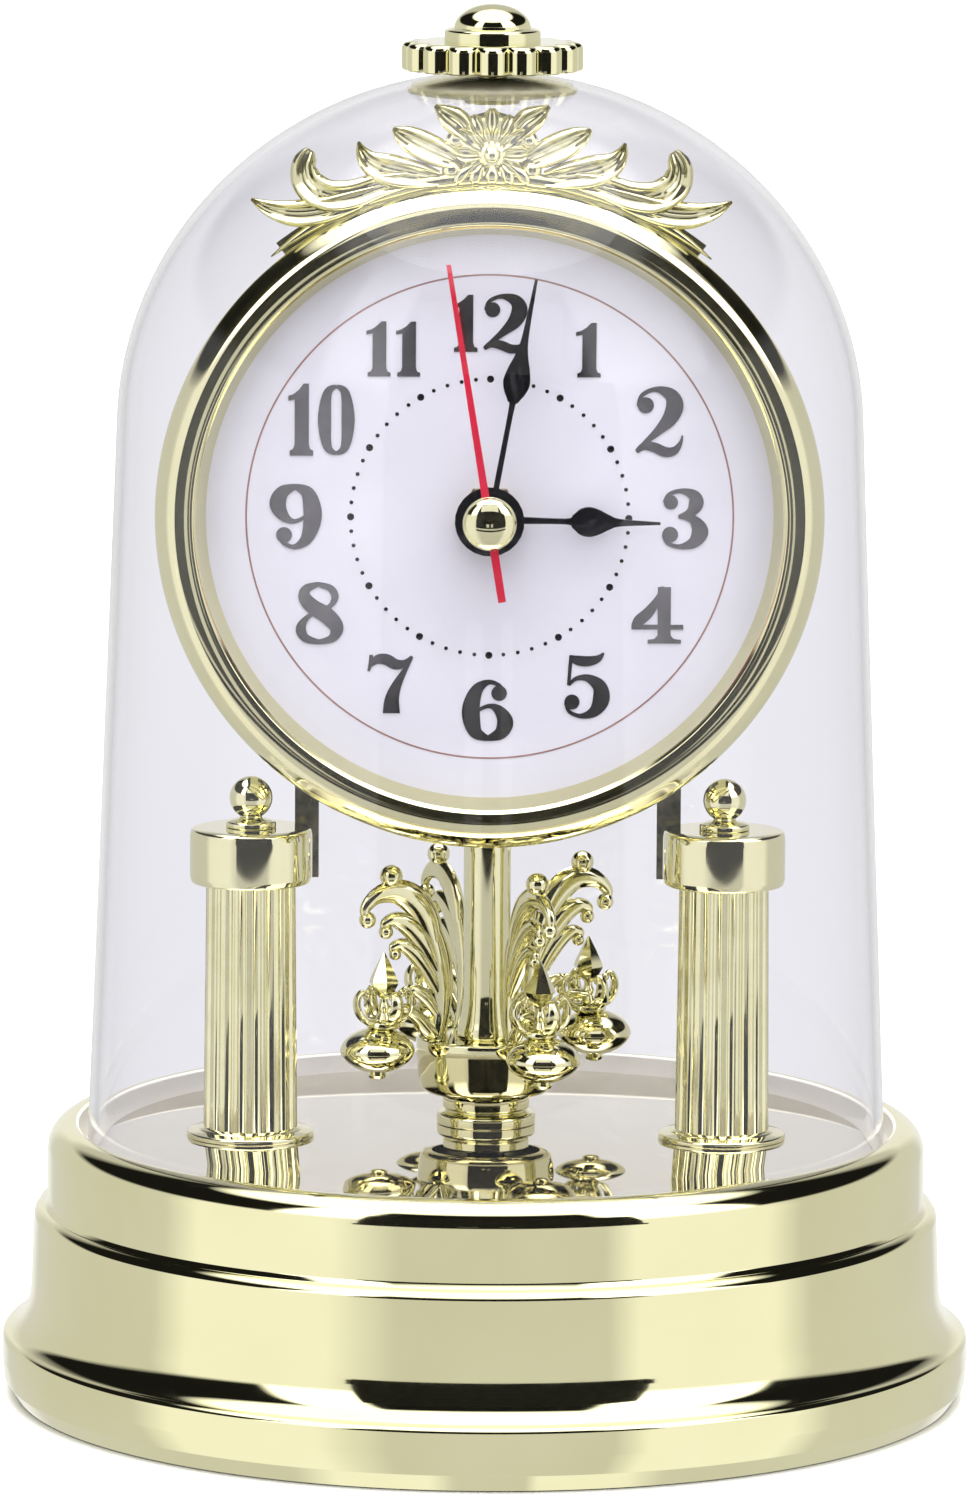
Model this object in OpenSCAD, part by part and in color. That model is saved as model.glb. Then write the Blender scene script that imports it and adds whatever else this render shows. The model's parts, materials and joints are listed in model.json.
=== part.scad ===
// Anniversary clock: a glass dome over a round stepped base, a clock head carried on two
// fluted columns, and a turning pendulum with four ornaments under the head.
// Frame: +X right, +Y to the back, +Z up, origin at the centre of the base's underside.

/* [Base] */
// Radius of the foot of the base
foot_r = 75; // [74.5:0.1:75.5]
// Radius of the middle tier
mid_r = 70.4; // [70:0.1:70.8]
// Radius of the upper tier
top_r = 68; // [67.6:0.1:68.4]
// Height of the rounded rim
rim_z = 42.3; // [42:0.1:42.6]
// Height of the mirror deck
deck_z = 39.8; // [39.6:0.1:40]
// Radius of the mirror deck
deck_r = 59.4; // [59:0.1:59.4]

/* [Dome] */
// Outer radius of the dome at its open end
dome_foot_r = 61.9; // [61.7:0.1:62]
// Outer radius where the round cap starts
dome_cap_r = 57.4; // [57.2:0.1:57.6]
// Height where the round cap starts
dome_cap_z = 150; // [149.6:0.1:150.4]
// Height of the round cap
dome_cap_h = 55.2; // [55:0.1:55.6]
// Thickness of the clear wall
dome_wall = 1.3; // [1.2:0.1:1.6]

/* [Columns] */
// Distance of each column from the middle
column_x = 36.6; // [36.4:0.1:36.8]
// Radius of a column at its foot
column_foot_r = 7.25; // [7.1:0.05:7.4]
// Radius of a column under its capital
column_top_r = 6.9; // [6.7:0.05:7]
// Number of flutes round a column
flutes = 20; // [16:2:24]
// Radius of a capital
capital_r = 9.5; // [9.3:0.1:9.6]

/* [Head] */
// Height of the middle of the dial
head_z = 138; // [137.8:0.1:138.2]
// Outer radius of the bezel
bezel_r = 50.8; // [50.5:0.1:51]
// Outer radius of the drum behind the bezel
case_r = 47; // [46.8:0.1:47]
// Radius of the visible dial
dial_r = 43.2; // [43:0.1:43.4]

/* [Time shown] */
// Hour hand, degrees clockwise from twelve
hour_angle = 91; // [90:0.5:92]
// Minute hand, degrees clockwise from twelve
minute_angle = 10.5; // [8:0.5:13]
// Second hand, degrees clockwise from twelve
second_angle = -9.3; // [-12:0.1:-6]

/* [Pendulum] */
// Distance of the pendulum's axis behind the middle
pendulum_y = 12; // [11.8:0.1:12.2]
// Radius of the pendulum's rod
rod_r = 3.7; // [3.5:0.1:3.8]
// Radius of the hub's rim
hub_r = 11; // [10.8:0.1:11]
// Distance of each ornament from the pendulum's axis
ball_reach = 19.1; // [19:0.1:19.3]
// Angle of the first ornament, degrees from +X
first_arm = 27.4; // [25:0.2:30]

/* [Hidden] */
$fn = 96;
e = 0.01;

gold = "#ded9a8";
dark_gold = "#a79c6a";
steel = "#b9bcc0";
black_plastic = "#1d1d20";
white_plastic = "#e6e6e2";

// Base
shell_floor_z = 36;
shell_ledge_z = 37.5;
ledge_in_r = 57.5;
groove_out_r = 63.2;
cover_r = 72.4;
cover_z = 1.2;
cover_t = 2.4;
boss_ring_r = 60.3;
boss_r = 3.4;
boss_low_z = 30;
screw_r = 1.5;
pad_ring_r = 64;
pad_r = 5;
deck_t = 1;
bay_y = -25;
battery_r = 7.1;
battery_len = 49.2;
door_half_x = 28;
door_half_y = 9;
door_t = 1.2;
door_travel = 12;
coil_board_z = 24;

// Columns
foot_ring_h = 1.1;
capital_z = 79.6;
capital_h = 8.6;
rod_hole_r = 1.6;

// Brackets behind the capitals
screw_z = capital_z + 4;
strap_x = 28.15;
strap_w = 3.7;
strap_t = 2;
strap_y = 7.2;
strap_top_z = head_z - 39;
tab_y = strap_y - 3.2;
tab_angle = asin(28 / case_r);

// Pendulum
hub_top_z = 53.6;
hub_low_z = 44.9;
guide_z = head_z - case_r - 1.7;
journal_r = 2;
bush_out_r = 3.2;
ball_z = 52.7;
bud_reach = 18;
bud_stem_r = 0.6;

// Head, measured along Y from front to back
case_front_y = -12;
case_back_y = 17;
dial_front_y = -12;
dial_t = 1;
bezel_front_y = -17;

// Movement
box_half = 28.5;
box_front_y = -10.6;
box_back_y = 4.4;
box_wall = 1.2;
bay_wall_z = -11.6;
cell_z = -20.2;
cell_y = -2.1;
setting_x = 13;
third_x = -12.24;
inter_x = 4.2;
inter_z = 7.27;
rotor_x = inter_x + 6.9;
rotor_z = inter_z + 2.53;
pivot_r = 0.4;
pivot_hole_r = 0.45;
second_arbor_r = 0.5;
minute_pipe_r = 1.6;
hour_pipe_r = 2.5;
bush_r = 4;

// Layers of the movement and of the hands, front to back
plate_y0 = -4.6;
plate_y1 = -3.6;
cover_y0 = 3.2;
hour_y0 = -9;
hour_y1 = -8;
center_y0 = -5.9;
center_y1 = -5.1;
stator_y1 = -0.9;
hour_hand_y = -14.4;
minute_hand_y = -17.1;
second_hand_y = -19.6;
minute_y0 = minute_hand_y - 0.5;
second_y1 = second_hand_y - 0.4;
dome_top_z = dome_cap_z + dome_cap_h;

// Gear modules and tooth counts
m_motor = 0.35;
m_third = 0.36;
m_center = 0.34;
m_setting = 13 * 2 / (12 + 36);
m_hour = 13 * 2 / (10 + 40);

// ---- helpers ----

function arc(cx, cy, r, from, to, n) =
    [for (i = [0:n]) let (a = from + (to - from) * i / n) [cx + r * cos(a), cy + r * sin(a)]];

function bezier(p, t) =
    pow(1 - t, 3) * p[0] + 3 * pow(1 - t, 2) * t * p[1]
    + 3 * (1 - t) * t * t * p[2] + t * t * t * p[3];

function slope(p, t) =
    3 * pow(1 - t, 2) * (p[1] - p[0]) + 6 * (1 - t) * t * (p[2] - p[1])
    + 3 * t * t * (p[3] - p[2]);

function side(p, t, w) = let (d = slope(p, t)) bezier(p, t) + w * [-d[1], d[0]] / norm(d);

// A flat band along a Bezier curve, w0 wide at its start, w_mid in the middle, w1 at its end
module band(p, w0, w_mid, w1, n = 9) {
    function half(t) = ((1 - t) * (1 - t) * w0 + 2 * t * (1 - t) * w_mid + t * t * w1) / 2;
    polygon(concat(
        [for (i = [0:n]) side(p, i / n, half(i / n))],
        [for (i = [n:-1:0]) side(p, i / n, -half(i / n))]));
}

// Turns a shape drawn flat in X,Y up into the X,Z plane, thick along Y from y_back forwards
module upright(y_back, thick) {
    translate([0, y_back, 0]) rotate([90, 0, 0]) linear_extrude(thick) children();
}

// A body of revolution about the dial's axis, drawn as [radius, y]
module turned_head() {
    translate([0, 0, head_z]) rotate([-90, 0, 0]) rotate_extrude() children();
}

// A cylinder along Y on the movement's own coordinates, from y0 to y1
module post(x, z, r, y0, y1) {
    translate([x, y1, head_z + z]) rotate([90, 0, 0]) cylinder(r = r, h = y1 - y0);
}

// Flat toothed outline; one tooth points along the angle "at"
module teeth_2d(count, m, at) {
    pitch_r = count * m / 2;
    root_r = pitch_r - 0.95 * m;
    tip_r = pitch_r + 0.62 * m;
    half_root = 0.27 * 180 / count;
    half_pitch = 0.36 * 180 / count;
    half_tip = 0.12 * 180 / count;
    function dir(r, a) = [r * cos(a), r * sin(a)];
    polygon([for (i = [0:count - 1]) let (a = at + i * 360 / count) each [
        dir(root_r, a - 2 * half_root), dir(pitch_r, a - half_pitch), dir(tip_r, a - half_tip),
        dir(tip_r, a + half_tip), dir(pitch_r, a + half_pitch), dir(root_r, a + 2 * half_root)]]);
}

module gear(x, z, count, m, at, y0, y1) {
    translate([x, y1, head_z + z]) rotate([90, 0, 0]) linear_extrude(y1 - y0)
        teeth_2d(count, m, at);
}

// Angle from one arbor to another as seen from the front
function bearing(x0, z0, x1, z1) = atan2(z1 - z0, x1 - x0);
// Angle at which a gear shows a gap towards the arbor it meets
function gap(toward, count) = toward + 180 + 180 / count;

module both_sides() {
    for (s = [-1, 1]) translate([s * column_x, 0, 0]) children();
}

module hex_nut(af, h, bore) {
    difference() {
        cylinder(d = af / cos(30), h = h, $fn = 6);
        translate([0, 0, -1]) cylinder(r = bore, h = h + 2);
    }
}

// ---- base ----

module base_shell() {
    profile = concat(
        [[foot_r - 0.5, 0], [foot_r, 5.5], [foot_r, 9.4], [foot_r - 0.4, 9.9],
         [foot_r - 1.5, 11.6], [foot_r - 2.9, 12.8], [foot_r - 3.9, 14], [mid_r + 0.2, 15.4],
         [mid_r + 0.1, 16.6], [mid_r - 0.3, 28.2], [mid_r - 0.8, 29], [top_r + 0.2, 29.6],
         [top_r, 30.2]],
        arc(top_r - 4, rim_z - 4, 4, 0, 90, 8),
        [[groove_out_r + 0.2, rim_z - 0.15], [groove_out_r, rim_z - 0.5],
         [groove_out_r, shell_ledge_z], [ledge_in_r, shell_ledge_z],
         [ledge_in_r, shell_floor_z], [66, shell_floor_z], [66.4, 30], [68.4, 27.5],
         [68.7, 16.5], [69.4, 14.2], [71.2, 12], [72.9, 9], [72.9, 0]]);
    color(gold) difference() {
        union() {
            rotate_extrude($fn = 128) polygon(profile);
            for (a = [45:90:315]) rotate([0, 0, a]) translate([boss_ring_r, 0, boss_low_z])
                cylinder(r = boss_r, h = shell_floor_z - boss_low_z);
        }
        for (a = [45:90:315]) rotate([0, 0, a]) translate([boss_ring_r, 0, boss_low_z - 1])
            cylinder(r = screw_r, h = 6);
    }
}

module deck_plate() {
    color("#c9c6a6") difference() {
        union() {
            translate([0, 0, deck_z - deck_t]) cylinder(r = deck_r, h = deck_t);
            translate([0, 0, shell_ledge_z])
                cylinder(r = deck_r, h = deck_z - shell_ledge_z - deck_t + e);
        }
        translate([0, 0, shell_ledge_z - 1])
            cylinder(r = deck_r - 1, h = deck_z - deck_t - shell_ledge_z + 1);
        both_sides() translate([0, 0, 36]) cylinder(r = rod_hole_r, h = 8);
        translate([0, pendulum_y, 36]) cylinder(r = 2.5, h = 8);
    }
}

// Outline of the sliding battery door and of the recess it slides in
module door_area(grow, more_x) {
    translate([-door_half_x - grow, bay_y - door_half_y - grow])
        square([2 * (door_half_x + grow) + more_x, 2 * (door_half_y + grow)]);
}

module bottom_cover() {
    bay_half_x = 27.2;
    bay_half_y = 8.4;
    lip = 1.2;
    color(black_plastic) difference() {
        union() {
            translate([0, 0, cover_z]) cylinder(r = cover_r, h = cover_t);
            for (a = [45:90:315]) rotate([0, 0, a]) translate([boss_ring_r, 0, cover_z])
                cylinder(r = boss_r, h = boss_low_z - cover_z);
            translate([-bay_half_x, bay_y - bay_half_y, cover_z])
                cube([2 * bay_half_x, 2 * bay_half_y, 14]);
            for (x = [-18, 18]) translate([x, pendulum_y, cover_z])
                cylinder(r = 3, h = coil_board_z - cover_z);
        }
        translate([-bay_half_x + 1.2, bay_y - bay_half_y + 1.2, cover_z - 1])
            cube([2 * bay_half_x - 2.4, 2 * bay_half_y - 2.4, 20]);
        translate([0, 0, cover_z - 1]) linear_extrude(1 + door_t + 0.2)
            translate([-door_half_x - 0.2, bay_y - door_half_y + lip])
                square([2 * door_half_x + door_travel + 0.4, 2 * (door_half_y - lip)]);
        translate([0, 0, cover_z + 0.5]) linear_extrude(door_t - 0.3) door_area(0.2, door_travel);
        for (a = [45:90:315]) rotate([0, 0, a]) translate([boss_ring_r, 0, 0]) {
            cylinder(r = screw_r + 0.1, h = boss_low_z + 1);
            cylinder(r = 2.8, h = cover_z + 2.4);
        }
        for (x = [-18, 18]) translate([x, pendulum_y, coil_board_z - 6]) cylinder(r = 1, h = 7);
    }
}

module bottom_screws() {
    head_z0 = cover_z + 0.4;
    color(steel) for (a = [45:90:315]) rotate([0, 0, a]) translate([boss_ring_r, 0, head_z0]) {
        difference() {
            cylinder(r = 2.7, h = 2);
            translate([-2, -0.3, -1]) cube([4, 0.6, 1.8]);
            translate([-0.3, -2, -1]) cube([0.6, 4, 1.8]);
        }
        cylinder(r = screw_r, h = 33 - head_z0);
    }
}

module foot_pads() {
    color("#3a3a3c") for (a = [0:90:270]) rotate([0, 0, a]) translate([pad_ring_r, 0, 0])
        cylinder(r = pad_r, h = cover_z);
}

module base_battery_door() {
    tongue = 1.05;
    color(black_plastic) difference() {
        union() {
            translate([-door_half_x, bay_y - door_half_y + tongue + 0.35, cover_z])
                cube([2 * door_half_x, 2 * (door_half_y - tongue - 0.35), door_t]);
            translate([-door_half_x, bay_y - door_half_y, cover_z + 0.65])
                cube([2 * door_half_x, 2 * door_half_y, door_t - 0.65]);
        }
        for (i = [0:5]) translate([-22 + 2 * i, bay_y - 5, cover_z - 0.5]) cube([1, 10, 0.9]);
    }
}

module battery_cell() {
    cylinder(r = battery_r, h = battery_len);
    translate([0, 0, battery_len]) cylinder(r = 2.7, h = 1);
}

module base_battery() {
    color("#26506e") translate([-battery_len / 2 - 0.5, bay_y, 11]) rotate([0, 90, 0])
        battery_cell();
}

module base_contacts() {
    color(steel) {
        translate([25.1, bay_y - 5, 6]) cube([0.5, 10, 12]);
        translate([-25.6, bay_y - 5, 6]) cube([0.5, 10, 12]);
    }
}

module drive_board() {
    color("#2e6b3f") difference() {
        translate([-22, pendulum_y - 13, coil_board_z]) cube([44, 26, 1.6]);
        for (x = [-18, 18]) translate([x, pendulum_y, coil_board_z - 1]) cylinder(r = 1, h = 4);
    }
}

module drive_coil() {
    color("#b0642f") translate([0, pendulum_y, coil_board_z + 1.6]) difference() {
        union() {
            cylinder(r = 9.5, h = 1);
            cylinder(r = 8.6, h = 8.4);
            translate([0, 0, 7.4]) cylinder(r = 9.5, h = 1);
        }
        translate([0, 0, -1]) cylinder(r = 2, h = 12);
    }
}

// ---- pendulum stand and columns ----

module pedestal() {
    color(gold) translate([0, pendulum_y, 0]) difference() {
        union() {
            translate([0, 0, deck_z]) cylinder(r = 7.75, h = 1.9);
            translate([0, 0, deck_z + 1.9 - e]) cylinder(r = 6.2, h = 2.9);
            translate([0, 0, 35]) cylinder(r = 2.5, h = 6);
        }
        translate([0, 0, 34]) cylinder(r = 1, h = 12);
    }
}

module pivot_pin() {
    color(steel) translate([0, pendulum_y, 35]) {
        cylinder(r = 1, h = 17.4);
        translate([0, 0, 17.4]) cylinder(r1 = 1, r2 = 0.2, h = 0.9);
    }
}

module deck_nuts() {
    nut_h = 2.5;
    color(steel) {
        both_sides() translate([0, 0, deck_z - deck_t - nut_h]) hex_nut(6, nut_h, screw_r);
        translate([0, pendulum_y, deck_z - deck_t - nut_h]) hex_nut(9, nut_h, 2.5);
    }
}

module column() {
    flute_r = 0.62;
    shaft_h = capital_z - deck_z;
    lean = atan((column_foot_r - column_top_r) / shaft_h);
    difference() {
        union() {
            difference() {
                translate([0, 0, deck_z]) cylinder(r1 = column_foot_r, r2 = column_top_r, h = shaft_h);
                for (i = [0:flutes - 1]) rotate([0, 0, i * 360 / flutes])
                    translate([column_foot_r + 0.12, 0, deck_z]) rotate([0, -lean, 0])
                        translate([0, 0, -1]) cylinder(r = flute_r, h = shaft_h + 2, $fn = 24);
            }
            translate([0, 0, deck_z]) cylinder(r = 9.9, h = foot_ring_h);
        }
        translate([0, 0, deck_z - 1]) cylinder(r = rod_hole_r, h = shaft_h + 2);
    }
}

module column_left() { color(gold) translate([-column_x, 0, 0]) column(); }
module column_right() { color(gold) translate([column_x, 0, 0]) column(); }

module capital() {
    soft = 0.35;
    difference() {
        rotate_extrude() polygon(concat(
            [[rod_hole_r, 0]],
            arc(capital_r - soft, soft, soft, -90, 0, 4),
            arc(capital_r - soft, capital_h - soft, soft, 0, 90, 4),
            [[rod_hole_r, capital_h]]));
        // Screw hole in the back
        translate([0, capital_r - 5, screw_z - capital_z]) rotate([-90, 0, 0])
            cylinder(r = 1, h = 6);
    }
}

module capital_left() { color(gold) translate([-column_x, 0, capital_z]) capital(); }
module capital_right() { color(gold) translate([column_x, 0, capital_z]) capital(); }

module tie_rods() {
    color(steel) both_sides() translate([0, 0, 35]) cylinder(r = screw_r, h = 55.8);
}

module cap_nuts() {
    ball_r = 3.35;
    ball_z = 4.6;
    color(gold) both_sides() translate([0, 0, capital_z + capital_h]) difference() {
        rotate_extrude() polygon(concat(
            [[0, 0], [3.9, 0], [3.9, 1.1], [3.7, 1.3], [1.9, 1.4], [1.65, 1.7]],
            arc(0, ball_z, ball_r, -55, 90, 16)));
        translate([0, 0, -1]) cylinder(r = screw_r, h = 3.7);
    }
}

// A slab cut from a ring, from one angle to another, raised along +Z
module ring_slab(r_in, r_out, from, to, h) {
    rotate([0, 0, from]) rotate_extrude(angle = to - from) translate([r_in, 0])
        square([r_out - r_in, h]);
}

// Turns +Z to point out of the drum where a bracket meets it
module out_of_drum(s) {
    translate([0, tab_y, head_z]) rotate([0, 180 - s * tab_angle, 0]) children();
}

// A strap from the back of a capital up to the underside of the drum; s is -1 left, +1 right
module bracket(s) {
    behind = s > 0 ? 50 : 35;
    difference() {
        union() {
            // Pad curved round the back of the capital
            translate([s * column_x, 0, capital_z + 0.2])
                ring_slab(capital_r, capital_r + 1.5, behind, behind + 95, 7.6);
            // Strap
            translate([s * strap_x - strap_w / 2, strap_y, capital_z - 0.4])
                cube([strap_w, strap_t, strap_top_z - capital_z + 0.4]);
            // Tab curved under the drum
            translate([0, strap_y + strap_t, head_z]) rotate([90, 0, 0])
                ring_slab(case_r, case_r + 1.5, -96 + s * tab_angle, -84 + s * tab_angle, 7.2);
        }
        translate([s * column_x, 5, screw_z]) rotate([-90, 0, 0]) cylinder(r = 1, h = 9);
        out_of_drum(s) translate([0, 0, case_r - 3]) cylinder(r = 1, h = 8);
    }
}

module bracket_left() { color(dark_gold) bracket(-1); }
module bracket_right() { color(dark_gold) bracket(1); }

module small_screw(shank) {
    cylinder(r = 1, h = shank + e);
    translate([0, 0, shank]) difference() {
        cylinder(r = 1.9, h = 1.3);
        translate([-2.5, -0.25, 0.7]) cube([5, 0.5, 1]);
    }
}

module bracket_screws() {
    color(steel) for (s = [-1, 1]) {
        translate([s * column_x, 5.5, screw_z]) rotate([-90, 0, 0]) small_screw(5.5);
        out_of_drum(s) translate([0, 0, case_r - 2.5]) small_screw(4);
    }
}

// ---- pendulum ----

module about_pendulum() { translate([0, pendulum_y, 0]) children(); }

module pendulum_rod() {
    color(gold) about_pendulum() rotate_extrude() polygon([
        [0, hub_top_z], [4.7, hub_top_z], [4.7, hub_top_z + 0.4], [4.3, hub_top_z + 1.8],
        [3.95, hub_top_z + 3.8], [rod_r, hub_top_z + 6.6], [rod_r, guide_z - 0.5],
        [journal_r, guide_z - 0.3], [journal_r, guide_z + 6], [0, guide_z + 6]]);
}

module hub_cup() {
    top = hub_top_z;
    low = hub_low_z;
    color(gold) about_pendulum() rotate_extrude() polygon([
        [1.05, low + 0.4], [3, low + 0.4], [3, top - 1.8], [9.7, top - 1.8], [9.1, low + 2],
        [8.6, low], [9.6, low], [10.3, low + 1.7], [10.8, low + 4.2], [hub_r, low + 6.5],
        [hub_r, top], [1.05, top]]);
}

module drive_magnets() {
    color(steel) about_pendulum() for (a = [0:90:270]) rotate([0, 0, a])
        translate([6.4, 0, hub_top_z - 3.8]) cylinder(r = 2, h = 2);
}

// Places something drawn with X pointing out from the axis, for ornament i of four
module at_arm(i) {
    about_pendulum() rotate([0, 0, first_arm + 90 * (i - 1)]) children();
}

module arm(i) {
    top = hub_top_z;
    color(gold) at_arm(i) difference() {
        union() {
            upright(1.1, 2.2) {
                // Foot on the hub's rim, and the link out over the ball
                translate([7.2, top]) square([3.6, 1.4]);
                band([[9.6, top + 0.9], [12, top + 3.6], [14, top + 5.6], [16.4, top + 5.4]],
                     2.2, 1.8, 1.4);
                // Stem and main scroll
                band([[9, top + 0.8], [7.6, 60], [7.8, 66], [9.6, 71]], 2.6, 3.4, 3);
                band([[8.9, 68], [9.6, 75], [15.5, 80.4], [21, 74.6]], 3, 3.4, 1.4, 12);
                translate([20.9, 73.6]) circle(r = 1.5, $fn = 24);
                // Two smaller scrolls under it
                band([[9, 66], [11, 71.6], [15, 75], [18, 72.4]], 2, 2.4, 1.2);
                translate([17.8, 71.8]) circle(r = 1.2, $fn = 24);
                band([[8.8, 63], [11, 67.6], [14, 70.8], [16.4, 69]], 1.8, 2, 1);
                translate([16.2, 68.6]) circle(r = 1, $fn = 24);
                // Curl beside the bud
                band([[15.2, top + 5.6], [20.5, 57.6], [24.4, 60], [22.2, 63]], 1.6, 1.8, 1);
                translate([21.9, 62.4]) circle(r = 1.1, $fn = 24);
            }
            translate([16.8, 0, 78.9]) sphere(r = 1.8, $fn = 48);
        }
        // Hole for the bud's stem
        translate([bud_reach, 0, top + 3.8]) cylinder(r = bud_stem_r + 0.05, h = 2.8);
    }
}

module arm_1() { arm(1); }
module arm_2() { arm(2); }
module arm_3() { arm(3); }
module arm_4() { arm(4); }

module pumpkin_balls() {
    half_h = 3.6;
    half_w = 5.85;
    lift = ball_z;
    color(gold) for (i = [1:4]) at_arm(i) translate([ball_reach, 0, lift]) rotate_extrude()
        polygon(concat(
            [[0, -half_h - 1.1], [1.3, -half_h - 0.9], [1.65, -half_h - 0.4], [1.5, -half_h + 0.3]],
            [for (a = [-70:10:80]) [half_w * cos(a), half_h * sin(a)]],
            [[0, half_h]]));
}

module bud_finials() {
    bud_r = 2.4;
    color(gold) for (i = [1:4]) at_arm(i) translate([bud_reach, 0, 0]) {
        // Collar over the ball, and the stem through the arm's curl
        translate([0, 0, ball_z + 3.6]) cylinder(r = 2.9, h = 1);
        translate([0, 0, ball_z + 4.6 - e]) cylinder(r1 = 1.6, r2 = bud_stem_r, h = 0.5);
        translate([0, 0, ball_z + 5]) cylinder(r = bud_stem_r, h = 3.2);
        // Six-sided bud
        translate([0, 0, ball_z + 8]) cylinder(r1 = 0.7, r2 = bud_r, h = 2.6, $fn = 6);
        translate([0, 0, ball_z + 10.6 - e]) cylinder(r1 = bud_r, r2 = 0.15, h = 4.7, $fn = 6);
    }
}

// ---- head ----

module head_case() {
    wall = 1.5;
    in_r = case_r - wall;
    seat_y = dial_front_y + dial_t;
    color(gold) difference() {
        turned_head() polygon([
            [case_r, case_front_y], [case_r, case_back_y], [38, case_back_y],
            [38, case_back_y - wall], [in_r, case_back_y - wall], [in_r, seat_y + 1.2],
            [42.5, seat_y + 1.2], [42.5, seat_y], [in_r, seat_y], [in_r, case_front_y]]);
        translate([0, pendulum_y, guide_z]) cylinder(r = bush_out_r, h = 6);
        for (s = [-1, 1]) out_of_drum(s) translate([0, 0, case_r - 3]) cylinder(r = 1, h = 8);
    }
}

module bezel() {
    y = case_front_y;
    color(gold) turned_head() polygon([
        [dial_r, y], [dial_r + 1.9, y - 3.1], [45.4, y - 3.7], [45.8, y - 3.75], [46.1, y - 3.3],
        [46.6, y - 3.9], [47.3, y - 4.6], [48.3, bezel_front_y], [49.3, y - 4.8],
        [50.2, y - 4.1], [50.7, y - 3.1], [bezel_r, y - 2.3], [bezel_r - 0.4, y - 1.4],
        [bezel_r - 1.4, y - 0.6], [48.6, y], [48.4, y + 4], [case_r, y + 4], [case_r, y]]);
}

// Leaves and scrolls over the bezel, on a band that follows its edge
module crest() {
    thick = 2.6;
    z = head_z;
    y_back = -11.2;
    foot = bezel_r - 0.05;
    band_out = foot + 2.6;
    half_turn = 38;
    // Half of the spray, on the right of the middle
    module half_spray() {
        band([[5, z + 51], [10, z + 54.5], [13.5, z + 56.5], [15.2, z + 58.2]], 4, 5, 0.6);
        band([[8, z + 50.5], [15, z + 52.5], [20.5, z + 52], [23.6, z + 56.6]], 3.6, 4.4, 0.6);
        band([[12, z + 50.4], [22, z + 46.5], [30.5, z + 45.5], [28.6, z + 55.4]], 4, 4.6, 1.4, 12);
        band([[16, z + 48.5], [24, z + 43.5], [31, z + 44.5], [36.2, z + 48.6]], 3, 4.6, 0.5);
        band([[0, z + 55], [3, z + 58], [6, z + 60], [8.6, z + 62.4]], 4.4, 4.6, 0.6);
    }
    color(gold) difference() {
        union() {
            upright(y_back, thick) half_spray();
            upright(y_back, thick) mirror([1, 0]) half_spray();
            upright(y_back, thick) translate([0, z + 55]) circle(r = 6.6, $fn = 48);
            upright(y_back, thick) translate([-6.6, z + 49]) square([13.2, 6]);
            // Band that follows the bezel
            upright(y_back, thick) polygon(concat(
                arc(0, z, foot - 0.5, 90 - half_turn, 90 + half_turn, 16),
                arc(0, z, band_out, 90 + half_turn, 90 - half_turn, 16)));
        }
        upright(y_back + 1, thick + 2) translate([0, z]) circle(r = foot, $fn = 128);
    }
}

module dial() {
    color("#d7d0de") difference() {
        turned_head() translate([0, dial_front_y]) square([case_r - 1.6, dial_t]);
        post(0, 0, bush_r, dial_front_y - 1, dial_front_y + 3);
    }
}

// ---- movement ----

module movement_housing() {
    inner = box_half - box_wall;
    color(black_plastic) difference() {
        union() {
            difference() {
                translate([-box_half, box_front_y, head_z - box_half])
                    cube([2 * box_half, box_back_y - box_front_y, 2 * box_half]);
                // Room for the wheels, open at the back
                translate([-inner, box_front_y + box_wall, head_z + bay_wall_z])
                    cube([2 * inner, 20, inner - bay_wall_z]);
                // Battery bay, open at the back
                translate([-inner, box_front_y + box_wall, head_z - inner])
                    cube([2 * inner, 20, inner + bay_wall_z - box_wall]);
            }
            post(0, 0, bush_r, box_front_y - 3.4, box_front_y + e);
            post(third_x, 0, 1.4, box_front_y + box_wall - e, hour_y0 - 0.2);
        }
        post(0, 0, hour_pipe_r + 0.06, box_front_y - 4, box_front_y + 3);
        post(third_x, 0, pivot_hole_r, box_front_y + 0.4, box_front_y + 4);
        post(setting_x, 0, pivot_hole_r, box_front_y + 0.4, box_front_y + 4);
    }
}

module middle_plate() {
    color(white_plastic) difference() {
        translate([-box_half + box_wall + 0.1, plate_y0, head_z + bay_wall_z + 0.1])
            cube([2 * (box_half - box_wall - 0.1), plate_y1 - plate_y0,
                  box_half - box_wall - bay_wall_z - 0.2]);
        post(0, 0, second_arbor_r + 0.06, plate_y0 - 1, plate_y1 + 1);
        post(inter_x, inter_z, pivot_hole_r, plate_y0 + 0.2, plate_y1 + 1);
        post(rotor_x, rotor_z, pivot_hole_r, plate_y0 + 0.2, plate_y1 + 1);
        post(third_x, 0, 2, plate_y0 - 1, plate_y1 + 1);
        post(setting_x, 0, 1.2, plate_y0 - 1, plate_y1 + 1);
    }
}

module movement_cover() {
    inner = box_half - box_wall;
    color(black_plastic) difference() {
        translate([-inner, cover_y0, head_z + bay_wall_z])
            cube([2 * inner, box_back_y - cover_y0, inner - bay_wall_z]);
        post(0, 0, pivot_hole_r, cover_y0 - 1, cover_y0 + 0.9);
        post(inter_x, inter_z, pivot_hole_r, cover_y0 - 1, cover_y0 + 0.9);
        post(rotor_x, rotor_z, pivot_hole_r, cover_y0 - 1, cover_y0 + 0.9);
        post(third_x, 0, pivot_hole_r, cover_y0 - 1, cover_y0 + 0.9);
        post(setting_x, 0, 1.06, cover_y0 - 1, box_back_y + 1);
    }
}

module shaft_nut() {
    color("#b9a668") translate([0, dial_front_y, head_z]) rotate([90, 0, 0])
        hex_nut(9, 1.6, bush_r);
}

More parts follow.
